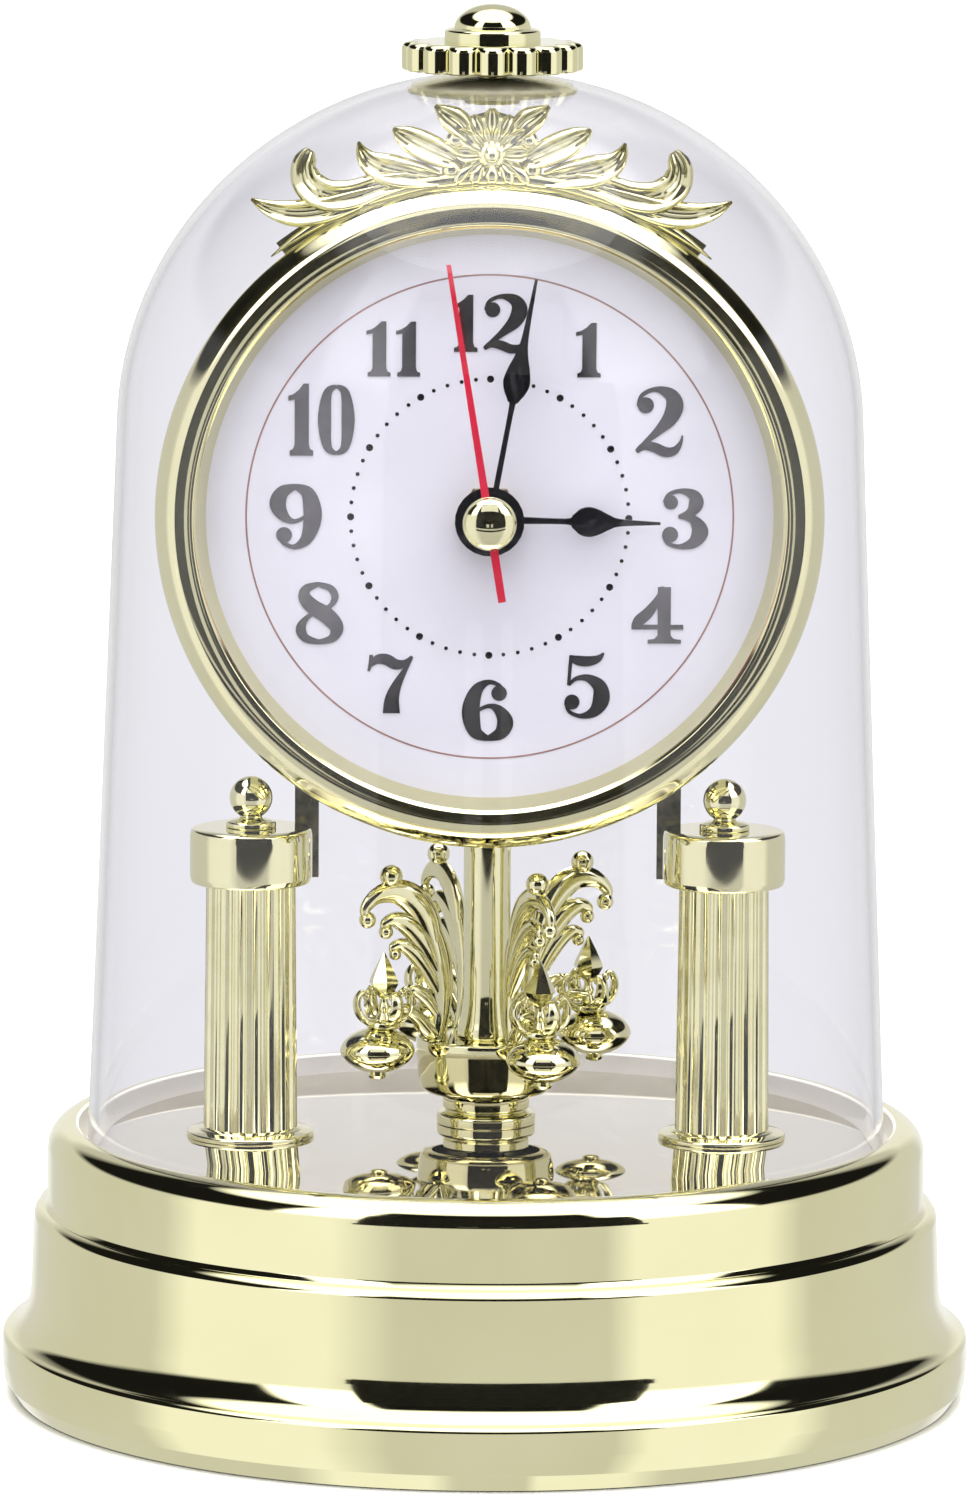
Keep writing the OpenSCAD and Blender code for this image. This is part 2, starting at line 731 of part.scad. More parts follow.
// Two soft-iron plates with the rotor's hole between them, and the coil's core
module stator() {
    color(steel) upright(stator_y1, 0.8) translate([0, head_z]) difference() {
        union() {
            translate([rotor_x, rotor_z]) circle(r = 4.8, $fn = 64);
            translate([13, 11]) square([3.6, 13]);
            translate([5.5, 11]) square([3.6, 6]);
            translate([-17, 15]) square([26, 2]);
            translate([-17, 15]) square([3.5, 9]);
        }
        translate([rotor_x, rotor_z]) circle(r = 3.2, $fn = 64);
    }
    color(steel) upright(stator_y1 + 0.8, 0.8) translate([-17, head_z + 20.5])
        square([33.6, 3]);
}

module motor_coil() {
    y_mid = stator_y1 + 0.4;
    color("#b0642f") translate([0, y_mid, head_z + 22]) rotate([0, 90, 0]) difference() {
        union() {
            translate([0, 0, -12]) cylinder(r = 2.7, h = 23);
            translate([0, 0, -12.8]) cylinder(r = 3, h = 0.8);
            translate([0, 0, 11]) cylinder(r = 3, h = 0.8);
        }
        translate([-1.5, -0.4, -14]) cube([3, 0.8, 28]);
    }
}

module movement_board() {
    color("#2e6b3f") translate([-26.5, 1.7, head_z + 3]) cube([20, 0.8, 11.5]);
    color("#202020") translate([-18, 1, head_z + 6]) cube([5, 0.7, 5]);
}

module movement_battery() {
    color("#26506e") translate([-battery_len / 2 - 0.5, cell_y, head_z + cell_z])
        rotate([0, 90, 0]) battery_cell();
}

module movement_contacts() {
    color(steel) {
        translate([25.1, cell_y - 4, head_z + cell_z - 4]) cube([0.5, 8, 8]);
        translate([-25.6, cell_y - 4, head_z + cell_z - 4]) cube([0.5, 8, 8]);
    }
}

module guide_bush() {
    color("#b9a668") about_pendulum() difference() {
        union() {
            translate([0, 0, guide_z]) cylinder(r = bush_out_r, h = 5.4);
            translate([0, 0, guide_z]) cylinder(r = 5, h = head_z - case_r - guide_z);
        }
        translate([0, 0, guide_z - 1]) cylinder(r = journal_r + 0.05, h = 8);
    }
}

// ---- wheels ----

module rotor() {
    to_inter = bearing(rotor_x, rotor_z, inter_x, inter_z);
    color("#5a5c60") {
        gear(rotor_x, rotor_z, 6, m_motor, to_inter, 0.4, 1.6);
        post(rotor_x, rotor_z, 2.6, -2.5, -0.1);
        post(rotor_x, rotor_z, pivot_r, plate_y0 + 0.3, cover_y0 + 0.8);
    }
}

module intermediate_wheel() {
    to_rotor = bearing(inter_x, inter_z, rotor_x, rotor_z);
    to_second = bearing(inter_x, inter_z, 0, 0);
    color(white_plastic) {
        gear(inter_x, inter_z, 36, m_motor, gap(to_rotor - 180, 36), 0.6, 1.4);
        gear(inter_x, inter_z, 8, m_motor, to_second, -1.4, -0.2);
        post(inter_x, inter_z, 0.8, -1.4, 1.4);
        post(inter_x, inter_z, pivot_r, plate_y0 + 0.3, cover_y0 + 0.8);
    }
}

module second_wheel() {
    to_inter = bearing(0, 0, inter_x, inter_z);
    color(white_plastic) {
        gear(0, 0, 40, m_motor, gap(to_inter - 180, 40), -1.2, -0.4);
        gear(0, 0, 8, m_third, 180, -3.1, -1.9);
        post(0, 0, 0.8, -3.1, -0.4);
        post(0, 0, pivot_r, -0.4, cover_y0 + 0.8);
        post(0, 0, second_arbor_r, second_y1, -0.4);
    }
}

module third_wheel() {
    color(white_plastic) {
        gear(third_x, 0, 60, m_third, gap(-180, 60), -2.9, -2.1);
        gear(third_x, 0, 8, m_center, 0, center_y0 - 0.2, center_y1 + 0.2);
        post(third_x, 0, 0.8, center_y0 - 0.2, -2.1);
        post(third_x, 0, pivot_r, box_front_y + 0.6, cover_y0 + 0.8);
    }
}

module center_wheel() {
    color(white_plastic) difference() {
        union() {
            gear(0, 0, 64, m_center, gap(0, 64), center_y0, center_y1);
            post(0, 0, 2.6, center_y0, center_y1 + 0.3);
        }
        post(0, 0, minute_pipe_r + 0.05, center_y0 - 1, center_y1 + 1);
    }
}

module cannon_pinion() {
    color("#c9b46a") difference() {
        union() {
            gear(0, 0, 12, m_setting, 0, -7.8, -6.4);
            post(0, 0, minute_pipe_r, minute_y0, center_y1 + 0.3);
        }
        post(0, 0, second_arbor_r + 0.06, minute_y0 - 1, center_y1 + 1);
    }
}

module setting_wheel() {
    knob_r = 5;
    color(white_plastic) {
        gear(setting_x, 0, 36, m_setting, gap(0, 36), -7.6, -6.6);
        gear(setting_x, 0, 10, m_hour, 180, hour_y0 - 0.1, hour_y1 + 0.1);
        post(setting_x, 0, 1, hour_y1, box_back_y + 1);
        post(setting_x, 0, pivot_r, box_front_y + 0.6, hour_y0);
        difference() {
            post(setting_x, 0, knob_r, box_back_y + 0.6, box_back_y + 4.6);
            for (a = [0:20:340]) translate([setting_x + knob_r * cos(a), 0, head_z + knob_r * sin(a)])
                translate([0, box_back_y + 6, 0]) rotate([90, 0, 0]) cylinder(r = 0.45, h = 7, $fn = 16);
        }
    }
}

module hour_wheel() {
    color(white_plastic) difference() {
        union() {
            gear(0, 0, 40, m_hour, gap(-180, 40), hour_y0, hour_y1);
            post(0, 0, hour_pipe_r, hour_hand_y - 0.5, hour_y1);
        }
        post(0, 0, minute_pipe_r + 0.06, hour_hand_y - 2, hour_y1 + 1);
    }
}

// ---- hands ----

// Turns a hand that is drawn pointing up to its angle clockwise from twelve
module hand(angle, y_back, thick) {
    translate([0, y_back, head_z]) rotate([90, 0, 0]) rotate([0, 0, -angle])
        linear_extrude(thick) children();
}

// Half-widths of a hand at distances along it, mirrored into a closed outline
module blade(outline) {
    polygon(concat(
        [for (p = outline) [p[1], p[0]]],
        [for (i = [len(outline) - 1:-1:0]) [-outline[i][1], outline[i][0]]]));
}

module hour_hand() {
    color("#1c1c1e") hand(hour_angle, hour_hand_y, 0.5) difference() {
        union() {
            circle(r = 4.4, $fn = 64);
            blade([[3, 0.9], [9, 0.8], [11, 1.2], [13, 2], [15, 2.35], [17, 1.9], [19, 1.1],
                   [21, 0.6], [26.5, 0.35]]);
        }
        circle(r = hour_pipe_r, $fn = 64);
    }
}

module minute_hand() {
    color("#1c1c1e") hand(minute_angle, minute_hand_y, 0.5) difference() {
        union() {
            circle(r = 5.3, $fn = 64);
            blade([[4, 0.5], [17, 0.5], [18.5, 0.9], [20, 1.6], [21.5, 2], [23.5, 1.75],
                   [26, 1.1], [29, 0.6], [38.7, 0.25]]);
        }
        circle(r = minute_pipe_r, $fn = 64);
    }
}

module second_hand() {
    cap_r = 4.1;
    color("#b4283c") hand(second_angle, second_hand_y, 0.4) difference() {
        blade([[-12.2, 0.62], [0, 0.62], [41, 0.4]]);
        circle(r = second_arbor_r, $fn = 32);
    }
    color(gold) translate([0, second_hand_y - 0.4, head_z]) rotate([90, 0, 0])
        rotate_extrude() polygon(concat([[0, 0], [cap_r, 0]],
            [for (a = [0:15:90]) [cap_r * cos(a), 0.3 + 2 * sin(a)]]));
}

// ---- dome ----

module dome() {
    in_r = dome_cap_r - dome_wall;
    in_h = dome_cap_h - dome_wall;
    color([0.92, 0.92, 0.96, 0.3]) difference() {
        rotate_extrude($fn = 128) polygon(concat(
            [[dome_foot_r - dome_wall, shell_ledge_z + 0.05], [dome_foot_r, shell_ledge_z + 0.05]],
            [for (i = [0:24]) [dome_cap_r * cos(i * 3.75), dome_cap_z + dome_cap_h * sin(i * 3.75)]],
            [for (i = [24:-1:0]) [in_r * cos(i * 3.75), dome_cap_z + in_h * sin(i * 3.75)]]));
        translate([0, 0, dome_cap_z + 40]) cylinder(r = 2.2, h = 30);
    }
}

module finial() {
    lobes = 16;
    lobe_r = 2.9;
    petal_h = 4.5;
    z0 = dome_top_z + 0.15;
    color(gold) {
        // Petal ring, hollowed a little to sit over the dome
        difference() {
            translate([0, 0, z0 - 0.1]) linear_extrude(petal_h) union() {
                circle(r = 12);
                for (i = [0:lobes - 1]) rotate(i * 360 / lobes) translate([13.9 - lobe_r, 0])
                    circle(r = lobe_r, $fn = 32);
            }
            translate([0, 0, z0 - 1]) cylinder(r = 2, h = 3);
        }
        translate([0, 0, z0 + petal_h - 0.2]) cylinder(r = 7.4, h = 2.3);
        translate([0, 0, z0 + petal_h + 2]) rotate_extrude() polygon(concat([[0, 0]],
            [for (a = [0:9:90]) [5.9 * cos(a), 3.7 * sin(a)]]));
        translate([0, 0, z0 - 4.6]) cylinder(r = 2, h = 5);
    }
}

module finial_nut() {
    in_r = dome_cap_r - dome_wall;
    in_h = dome_cap_h - dome_wall;
    washer_r = 13;
    washer_t = 0.7;
    gap = 0.08;
    function under(r) = dome_cap_z - gap + in_h * sqrt(1 - r * r / (in_r * in_r));
    color("#8f8a58") difference() {
        union() {
            rotate_extrude() polygon(concat(
                [for (i = [0:8]) [2 + (washer_r - 2) * i / 8, under(2 + (washer_r - 2) * i / 8)]],
                [for (i = [8:-1:0]) [2 + (washer_r - 2) * i / 8,
                    under(2 + (washer_r - 2) * i / 8) - washer_t]]));
            translate([0, 0, under(2) - 2.4]) cylinder(r = 4.2, h = 2.2, $fn = 6);
        }
        translate([0, 0, under(2) - 4]) cylinder(r = 2, h = 6);
    }
}

base_shell();
deck_plate();
bottom_cover();
bottom_screws();
foot_pads();
base_battery_door();
base_battery();
base_contacts();
drive_coil();
drive_board();
pedestal();
pivot_pin();
deck_nuts();
column_left();
column_right();
capital_left();
capital_right();
tie_rods();
cap_nuts();
bracket_left();
bracket_right();
bracket_screws();
pendulum_rod();
hub_cup();
drive_magnets();
arm_1();
arm_2();
arm_3();
arm_4();
pumpkin_balls();
bud_finials();
head_case();
bezel();
crest();
dial();
movement_housing();
middle_plate();
movement_cover();
shaft_nut();
motor_coil();
stator();
movement_board();
movement_battery();
movement_contacts();
guide_bush();
rotor();
intermediate_wheel();
second_wheel();
third_wheel();
center_wheel();
cannon_pinion();
setting_wheel();
hour_wheel();
hour_hand();
minute_hand();
second_hand();
dome();
finial();
finial_nut();
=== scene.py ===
"""Looks of the anniversary clock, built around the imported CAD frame. Lengths are in mm unless
a name or comment says otherwise; meshes are turned into metres when they are made."""

import json
import math

import bmesh
import bpy
from mathutils import Matrix, Vector
from mathutils.geometry import delaunay_2d_cdt

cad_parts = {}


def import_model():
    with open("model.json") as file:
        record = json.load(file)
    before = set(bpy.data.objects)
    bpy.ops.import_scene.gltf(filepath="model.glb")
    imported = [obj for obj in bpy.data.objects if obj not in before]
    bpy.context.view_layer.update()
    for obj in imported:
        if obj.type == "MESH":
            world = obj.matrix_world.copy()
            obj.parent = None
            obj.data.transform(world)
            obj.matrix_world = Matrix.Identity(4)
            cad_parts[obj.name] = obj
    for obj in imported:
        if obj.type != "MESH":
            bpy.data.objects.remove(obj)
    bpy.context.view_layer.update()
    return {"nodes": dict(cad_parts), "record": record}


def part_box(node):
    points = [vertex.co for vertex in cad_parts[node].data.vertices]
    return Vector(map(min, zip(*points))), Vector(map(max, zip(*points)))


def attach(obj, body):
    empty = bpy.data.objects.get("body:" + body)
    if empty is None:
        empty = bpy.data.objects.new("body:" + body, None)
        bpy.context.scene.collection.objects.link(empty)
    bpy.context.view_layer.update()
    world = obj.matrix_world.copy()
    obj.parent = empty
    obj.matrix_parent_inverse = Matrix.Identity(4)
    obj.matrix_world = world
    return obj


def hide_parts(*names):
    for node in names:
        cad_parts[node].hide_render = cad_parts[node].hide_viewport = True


MM = 0.001
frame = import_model()


# ---- where things are, from the frame ----

def low(node):
    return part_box(node)[0] / MM


def high(node):
    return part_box(node)[1] / MM


def middle(node):
    return (low(node) + high(node)) / 2


FOOT_R = high("base_shell").x
RIM_Z = high("base_shell").z
DECK_Z = high("deck_plate").z
DECK_R = high("deck_plate").x
DECK_LOW = low("deck_plate").z
COLUMN_X = middle("column_right").x
COLUMN_TOP = high("column_right").z
RING_R = high("column_right").x - COLUMN_X
CAPITAL_R = high("capital_right").x - COLUMN_X
CAPITAL_Z = low("capital_right").z
CAPITAL_TOP = high("capital_right").z
NUT_TOP = high("cap_nuts").z
AXIS_Y = middle("hub_cup").y
HUB_R = high("hub_cup").x
HUB_Z = low("hub_cup").z
HUB_TOP = high("hub_cup").z
ROD_TOP = high("pendulum_rod").z
STAND_R = high("pedestal").x
HEAD_Z = middle("bezel").z
BEZEL_R = high("bezel").x
BEZEL_FRONT = low("bezel").y
BEZEL_BACK = high("bezel").y
CASE_R = high("head_case").x
CASE_FRONT = low("head_case").y
CASE_BACK = high("head_case").y
DIAL_FRONT = low("dial").y
DIAL_BACK = high("dial").y
CREST_BACK = high("crest").y
CREST_FRONT = low("crest").y
DOME_R = high("dome").x
DOME_FOOT = low("dome").z
DOME_TOP = high("dome").z
FINIAL_R = high("finial").x
FINIAL_TOP = high("finial").z
CAP_R = 57.4
CAP_Z = 150
WALL = 1.3
ARM_TURN = 27.4
BALL_REACH = 19.1
BALL_Z = 52.7
BUD_REACH = 18
HOUR_TURN = 91
MINUTE_TURN = 10.5
SECOND_TURN = -9.3


# ---- shapes ----

def smooth(points, steps=6):
    """A Catmull-Rom line through points of any number of values."""
    out = []
    for i in range(len(points) - 1):
        p = [Vector(points[max(0, min(len(points) - 1, k))]) for k in range(i - 1, i + 3)]
        for s in range(steps):
            t = s / steps
            out.append(0.5 * (2 * p[1] + (p[2] - p[0]) * t
                              + (2 * p[0] - 5 * p[1] + 4 * p[2] - p[3]) * t * t
                              + (3 * p[1] - p[0] - 3 * p[2] + p[3]) * t * t * t))
    out.append(Vector(points[-1]))
    return out


def rounded(points, steps=5):
    """A closed outline of (x, y) or (x, y, radius), with its corners rounded to their radius."""
    out = []
    n = len(points)
    for i, p in enumerate(points):
        here = Vector(p[:2])
        if len(p) < 3:
            out.append(here)
            continue
        before = Vector(points[i - 1][:2]) - here
        after = Vector(points[(i + 1) % n][:2]) - here
        half = before.angle(after) / 2
        reach = min(p[2] / math.tan(half), 0.48 * before.length, 0.48 * after.length)
        a = here + before.normalized() * reach
        b = here + after.normalized() * reach
        weight = math.sin(half)
        for s in range(steps + 1):
            t = s / steps
            w = (1 - t) ** 2 + 2 * weight * t * (1 - t) + t * t
            out.append(((1 - t) ** 2 * a + 2 * weight * t * (1 - t) * here + t * t * b) / w)
    return out


def arc(cx, cy, r, start, end, steps):
    """Points on a circle's arc, with its angles in degrees."""
    turns = [math.radians(start + (end - start) * i / steps) for i in range(steps + 1)]
    return [(cx + r * math.cos(a), cy + r * math.sin(a)) for a in turns]


def lathe(outline, segments=160):
    """A closed outline of (radius, z) turned about Z. Points on the axis become poles."""
    verts, rings, faces = [], [], []
    for p in outline:
        r, z = p[0], p[1]
        if r < 1e-5:
            rings.append([len(verts)] * segments)
            verts.append((0, 0, z))
            continue
        rings.append(list(range(len(verts), len(verts) + segments)))
        for k in range(segments):
            a = 2 * math.pi * k / segments
            verts.append((r * math.cos(a), r * math.sin(a), z))
    for i, one in enumerate(rings):
        two = rings[(i + 1) % len(rings)]
        for k in range(segments):
            m = (k + 1) % segments
            face = list(dict.fromkeys([one[k], one[m], two[m], two[k]]))
            if len(face) > 2:
                faces.append(face)
    return verts, faces


def loft(rings, closed=False):
    """A skin over rings of the same number of points, with flat ends unless it is closed."""
    n = len(rings[0])
    verts = [p for ring in rings for p in ring]
    faces = []
    last = len(rings) if closed else len(rings) - 1
    for i in range(last):
        j = (i + 1) % len(rings)
        for k in range(n):
            m = (k + 1) % n
            faces.append([i * n + k, i * n + m, j * n + m, j * n + k])
    if not closed:
        faces.append(list(range(n))[::-1])
        faces.append([(len(rings) - 1) * n + k for k in range(n)])
    return verts, faces


def ball(x, z, r, segments=32):
    half = arc(0, z, r, 90, -90, 16)
    half[0], half[-1] = (0, z + r), (0, z - r)
    verts, faces = lathe(half, segments)
    return [(v[0] + x, v[1], v[2]) for v in verts], faces


def sideways(line, i):
    """The unit vector to the left of a line at its point i."""
    along = line[min(i + 1, len(line) - 1)].xy - line[max(i - 1, 0)].xy
    return Vector((-along.y, along.x)).normalized()


def stroke(points, steps=6):
    """The outline of a line drawn through points of (x, y, width)."""
    line = smooth(points, steps)
    left, right = [], []
    for i, p in enumerate(line):
        out = sideways(line, i) * p[2] / 2
        left.append(p.xy + out)
        right.append(p.xy - out)
    return left + right[::-1]


def plate(solid, holes=(), thick=1.0):
    """A flat plate from z 0 up: the union of the solid outlines, less the holes."""
    outlines = [leftward(o) for o in list(solid) + list(holes)]
    points = [Vector(p).xy for o in outlines for p in o]
    loops, start = [], 0
    for o in outlines:
        loops.append(list(range(start, start + len(o))))
        start += len(o)
    flat, _, cells, _, _, owners = delaunay_2d_cdt(points, [], loops, 0, 1e-5, True)
    kept = [c for c, own in zip(cells, owners)
            if any(i < len(solid) for i in own) and not any(i >= len(solid) for i in own)]
    kept = [c for c in kept if abs(area(flat, c)) > 1e-7]
    used = sorted({i for c in kept for i in c})
    index = {v: i for i, v in enumerate(used)}
    n = len(used)
    verts = [(flat[i].x, flat[i].y, z) for z in (0, thick) for i in used]
    faces, edges = [], {}
    for c in kept:
        ids = [index[i] for i in c]
        if area(flat, c) < 0:
            ids = ids[::-1]
        faces.append(ids[::-1])
        faces.append([i + n for i in ids])
        edges.update(dict.fromkeys(zip(ids, ids[1:] + ids[:1])))
    for a, b in edges:
        if (b, a) not in edges:
            faces.append([a, b, b + n, a + n])
    return verts, faces


def leftward(outline):
    """The outline with its inside on the left."""
    pairs = zip(outline, outline[1:] + outline[:1])
    doubled = sum(a[0] * b[1] - b[0] * a[1] for a, b in pairs)
    return outline if doubled > 0 else outline[::-1]


def area(flat, cell):
    a, b, c = (flat[i] for i in cell[:3])
    return (b - a).cross(c - a) / 2


def ribbon(path, section, steps=8):
    """A relief leaf along a path of (x, y, half width, height); section is the shape across it,
    in (share of half width, share of height), from the left foot to the right foot."""
    line = smooth(path, steps)
    rings = []
    for i, p in enumerate(line):
        out = sideways(line, i)
        rings.append([(p[0] + out.x * u * p[2], p[1] + out.y * u * p[2], v * p[3])
                      for u, v in section])
    return loft(rings)


def limb(path, steps=6, sides=14, ridge=0.0):
    """A rounded limb in the X, Z plane along a path of (x, z, half width, half thickness)."""
    line = smooth(path, steps)
    rings = []
    for i, p in enumerate(line):
        out = sideways(line, i)
        ring = []
        for k in range(sides):
            a = 2 * math.pi * k / sides
            u = math.cos(a) * p[2] * (1 + ridge * math.cos(a) ** 6)
            v = math.sin(a) * p[3]
            ring.append((p[0] + out.x * u, v, p[1] + out.y * u))
        rings.append(ring)
    return loft(rings)


class Shape:
    """Closed shells gathered into one mesh, each with a place and a look."""

    def __init__(self):
        self.verts, self.faces, self.looks = [], [], []

    def add(self, shell, place=Matrix.Identity(4), look=0):
        start = len(self.verts)
        verts, faces = shell
        self.verts += [place @ Vector(v) for v in verts]
        self.faces += [[start + i for i in f] for f in faces]
        self.looks += [look] * len(faces)
        return self


def at(x, y, z):
    return Matrix.Translation((x, y, z))


def turn(degrees, axis="Z"):
    return Matrix.Rotation(math.radians(degrees), 4, axis)


UPRIGHT = turn(90, "X")
AROUND_HEAD = at(0, 0, HEAD_Z) @ turn(-90, "X")
FACE = at(0, DIAL_FRONT, HEAD_Z) @ UPRIGHT
AXIS = at(0, AXIS_Y, 0)


def piece(name, shape, body, looks, stands_for=(), sharp=32, bevel=0.0):
    """Makes a mesh of a shape given in mm, and ties it to the frame."""
    mesh = bpy.data.meshes.new(name)
    mesh.from_pydata([v * MM for v in shape.verts], [], shape.faces)
    for look in looks if isinstance(looks, list) else [looks]:
        mesh.materials.append(look.material)
    mesh.polygons.foreach_set("material_index", shape.looks)
    work = bmesh.new()
    work.from_mesh(mesh)
    bmesh.ops.recalc_face_normals(work, faces=work.faces)
    if bevel:
        soften(work, bevel)
    for face in work.faces:
        face.smooth = True
    for edge in work.edges:
        if len(edge.link_faces) == 2:
            edge.smooth = edge.calc_face_angle(0) < math.radians(sharp)
    work.to_mesh(mesh)
    work.free()
    obj = placed(name, mesh)
    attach(obj, body)
    if stands_for:
        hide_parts(*stands_for)


def placed(name, data):
    """A new object in the scene."""
    obj = bpy.data.objects.new(name, data)
    bpy.context.scene.collection.objects.link(obj)
    return obj


def soften(work, width):
    """Rounds the hard edges of a plate."""
    bmesh.ops.dissolve_limit(work, angle_limit=math.radians(0.5), verts=work.verts,
                             edges=work.edges)
    hard = [e for e in work.edges
            if len(e.link_faces) == 2 and e.calc_face_angle(0) > math.radians(60)]
    bmesh.ops.bevel(work, geom=hard, offset=width * MM, offset_type="OFFSET", segments=3,
                    profile=0.5, affect="EDGES", clamp_overlap=True)


# ---- materials ----

class Nodes:
    """A node tree, with short ways to add to it."""

    def __init__(self, owner):
        owner.use_nodes = True
        self.tree = owner.node_tree

    def node(self, kind, **values):
        """A new node; each value is set on its property or else on its input socket."""
        made = self.tree.nodes.new("ShaderNode" + kind)
        for key, value in values.items():
            if hasattr(made, key):
                setattr(made, key, value)
            else:
                made.inputs[key.replace("_", " ")].default_value = value
        return made

    def link(self, out, into):
        self.tree.links.new(out, into)

    def ramp(self, value, stops, constant=False):
        made = self.node("ValToRGB")
        ramp = made.color_ramp
        ramp.interpolation = "CONSTANT" if constant else "LINEAR"
        while len(ramp.elements) < len(stops):
            ramp.elements.new(0.5)
        for element, (where, colour) in zip(ramp.elements, stops):
            element.position = where
            element.color = (*colour, 1)
        self.link(value, made.inputs["Fac"])
        return made.outputs["Color"]


class Look(Nodes):
    """A Principled material on object coordinates."""

    def __init__(self, name, **values):
        self.material = bpy.data.materials.new(name)
        super().__init__(self.material)
        self.shader = self.tree.nodes["Principled BSDF"]
        self.place = self.node("TexCoord").outputs["Object"]
        for socket, value in values.items():
            self.shader.inputs[socket.replace("_", " ")].default_value = value

    def noise(self, scale, detail=3.0):
        made = self.node("TexNoise", Scale=scale, Detail=detail, Roughness=0.5)
        self.link(self.place, made.inputs["Vector"])
        return made.outputs["Fac"]

    def tones(self, scale, dark, light, detail=3.0):
        """Colours the surface in two close tones of noise."""
        self.colour(self.ramp(self.noise(scale, detail), [(0.3, dark), (0.7, light)]))

    def surface(self, factor, one, two):
        """Ends the material in a mix of two shaders, one for factor 0 and two for factor 1."""
        mix = self.node("MixShader")
        self.link(factor, mix.inputs[0])
        self.link(one.outputs["BSDF"], mix.inputs[1])
        self.link(two.outputs["BSDF"], mix.inputs[2])
        self.link(mix.outputs["Shader"], self.tree.nodes["Material Output"].inputs["Surface"])

    def between(self, value, lowest, highest):
        made = self.node("MapRange", From_Min=0.3, From_Max=0.7, To_Min=lowest, To_Max=highest)
        self.link(value, made.inputs["Value"])
        return made.outputs["Result"]

    def colour(self, out):
        self.link(out, self.shader.inputs["Base Color"])

    def rough(self, scale, lowest, highest):
        self.link(self.between(self.noise(scale, 4.0), lowest, highest),
                  self.shader.inputs["Roughness"])

    def bump(self, height, distance):
        """Adds bumps of a height in metres on top of those that are there already."""
        made = self.node("Bump", Strength=1.0, Distance=distance)
        self.link(height, made.inputs["Height"])
        normal = self.shader.inputs["Normal"]
        if normal.links:
            self.link(normal.links[0].from_socket, made.inputs["Normal"])
        self.link(made.outputs["Normal"], normal)


def metal(name, dark, light, rough, wave=0.0, grain=0.0, scale=45, metallic=1.0):
    """Bare or plated metal: two close tones, uneven polish, and slow waves in the surface."""
    look = Look(name, Metallic=metallic)
    look.tones(scale, dark, light)
    look.rough(260, *rough)
    if wave:
        look.bump(look.noise(38, 1.0), wave)
    if grain:
        look.bump(look.noise(3000, 2.0), grain)
    return look


def moulded(name, dark, light, rough=(0.38, 0.5), grain=4e-6, **more):
    """Moulded plastic or rubber: soft speckle, fine grain and a slightly uneven skin."""
    look = Look(name, **more)
    look.tones(120, dark, light)
    look.rough(500, *rough)
    look.bump(look.noise(2600, 3.0), grain)
    look.bump(look.noise(90, 1.0), grain * 5)
    return look


def coil_look():
    look = Look("wound_copper", Metallic=0.85)
    look.tones(300, (0.46, 0.15, 0.06), (0.66, 0.28, 0.12))
    look.rough(600, 0.22, 0.38)
    wires = look.node("TexWave", Scale=900, Distortion=0.6, Detail=1.0)
    wires.bands_direction = "DIAGONAL"
    look.link(look.place, wires.inputs["Vector"])
    look.bump(wires.outputs["Fac"], 6e-5)
    return look


def board_look():
    look = Look("circuit_board_lacquer", Coat_Weight=0.4, Coat_Roughness=0.15)
    cells = look.node("TexVoronoi", Scale=420, feature="DISTANCE_TO_EDGE")
    look.link(look.place, cells.inputs["Vector"])
    look.colour(look.ramp(cells.outputs["Distance"], [
        (0.0, (0.10, 0.24, 0.08)), (0.08, (0.10, 0.24, 0.08)), (0.1, (0.02, 0.10, 0.04)),
        (1.0, (0.02, 0.12, 0.05))]))
    look.rough(800, 0.3, 0.45)
    return look


def cell_look():
    """A battery's printed sleeve: a copper band at one end, dark from there on."""
    look = Look("cell_wrap", Coat_Weight=0.5, Coat_Roughness=0.1)
    parts = look.node("SeparateXYZ")
    look.link(look.place, parts.inputs["Vector"])
    share = look.node("MapRange", From_Min=-0.0252, From_Max=0.0252)
    look.link(parts.outputs["X"], share.inputs["Value"])
    look.colour(look.ramp(share.outputs["Result"], [
        (0.0, (0.55, 0.56, 0.58)), (0.02, (0.02, 0.07, 0.14)), (0.7, (0.60, 0.30, 0.12)),
        (0.97, (0.60, 0.61, 0.62))], constant=True))
    look.rough(300, 0.25, 0.4)
    look.bump(look.noise(200, 2.0), 2e-5)
    return look


def glass_look():
    """Clear acrylic. Shadow rays pass it, so that the pieces inside are lit."""
    look = Look("dome_clear", Roughness=0.0, IOR=1.3, Transmission_Weight=1.0)
    look.tones(14, (0.955, 0.95, 0.985), (0.97, 0.965, 0.99), 1.0)
    look.bump(look.noise(22, 1.0), 4e-5)
    clear = look.node("BsdfTransparent", Color=(0.93, 0.925, 0.95, 1))
    look.surface(look.node("LightPath").outputs["Is Shadow Ray"], look.shader, clear)
    return look


def enamel(name, dark, light, rough=(0.16, 0.26)):
    look = Look(name, Coat_Weight=0.3, Coat_Roughness=0.08)
    look.tones(70, dark, light)
    look.rough(420, *rough)
    look.bump(look.noise(1500, 2.0), 1.2e-6)
    return look


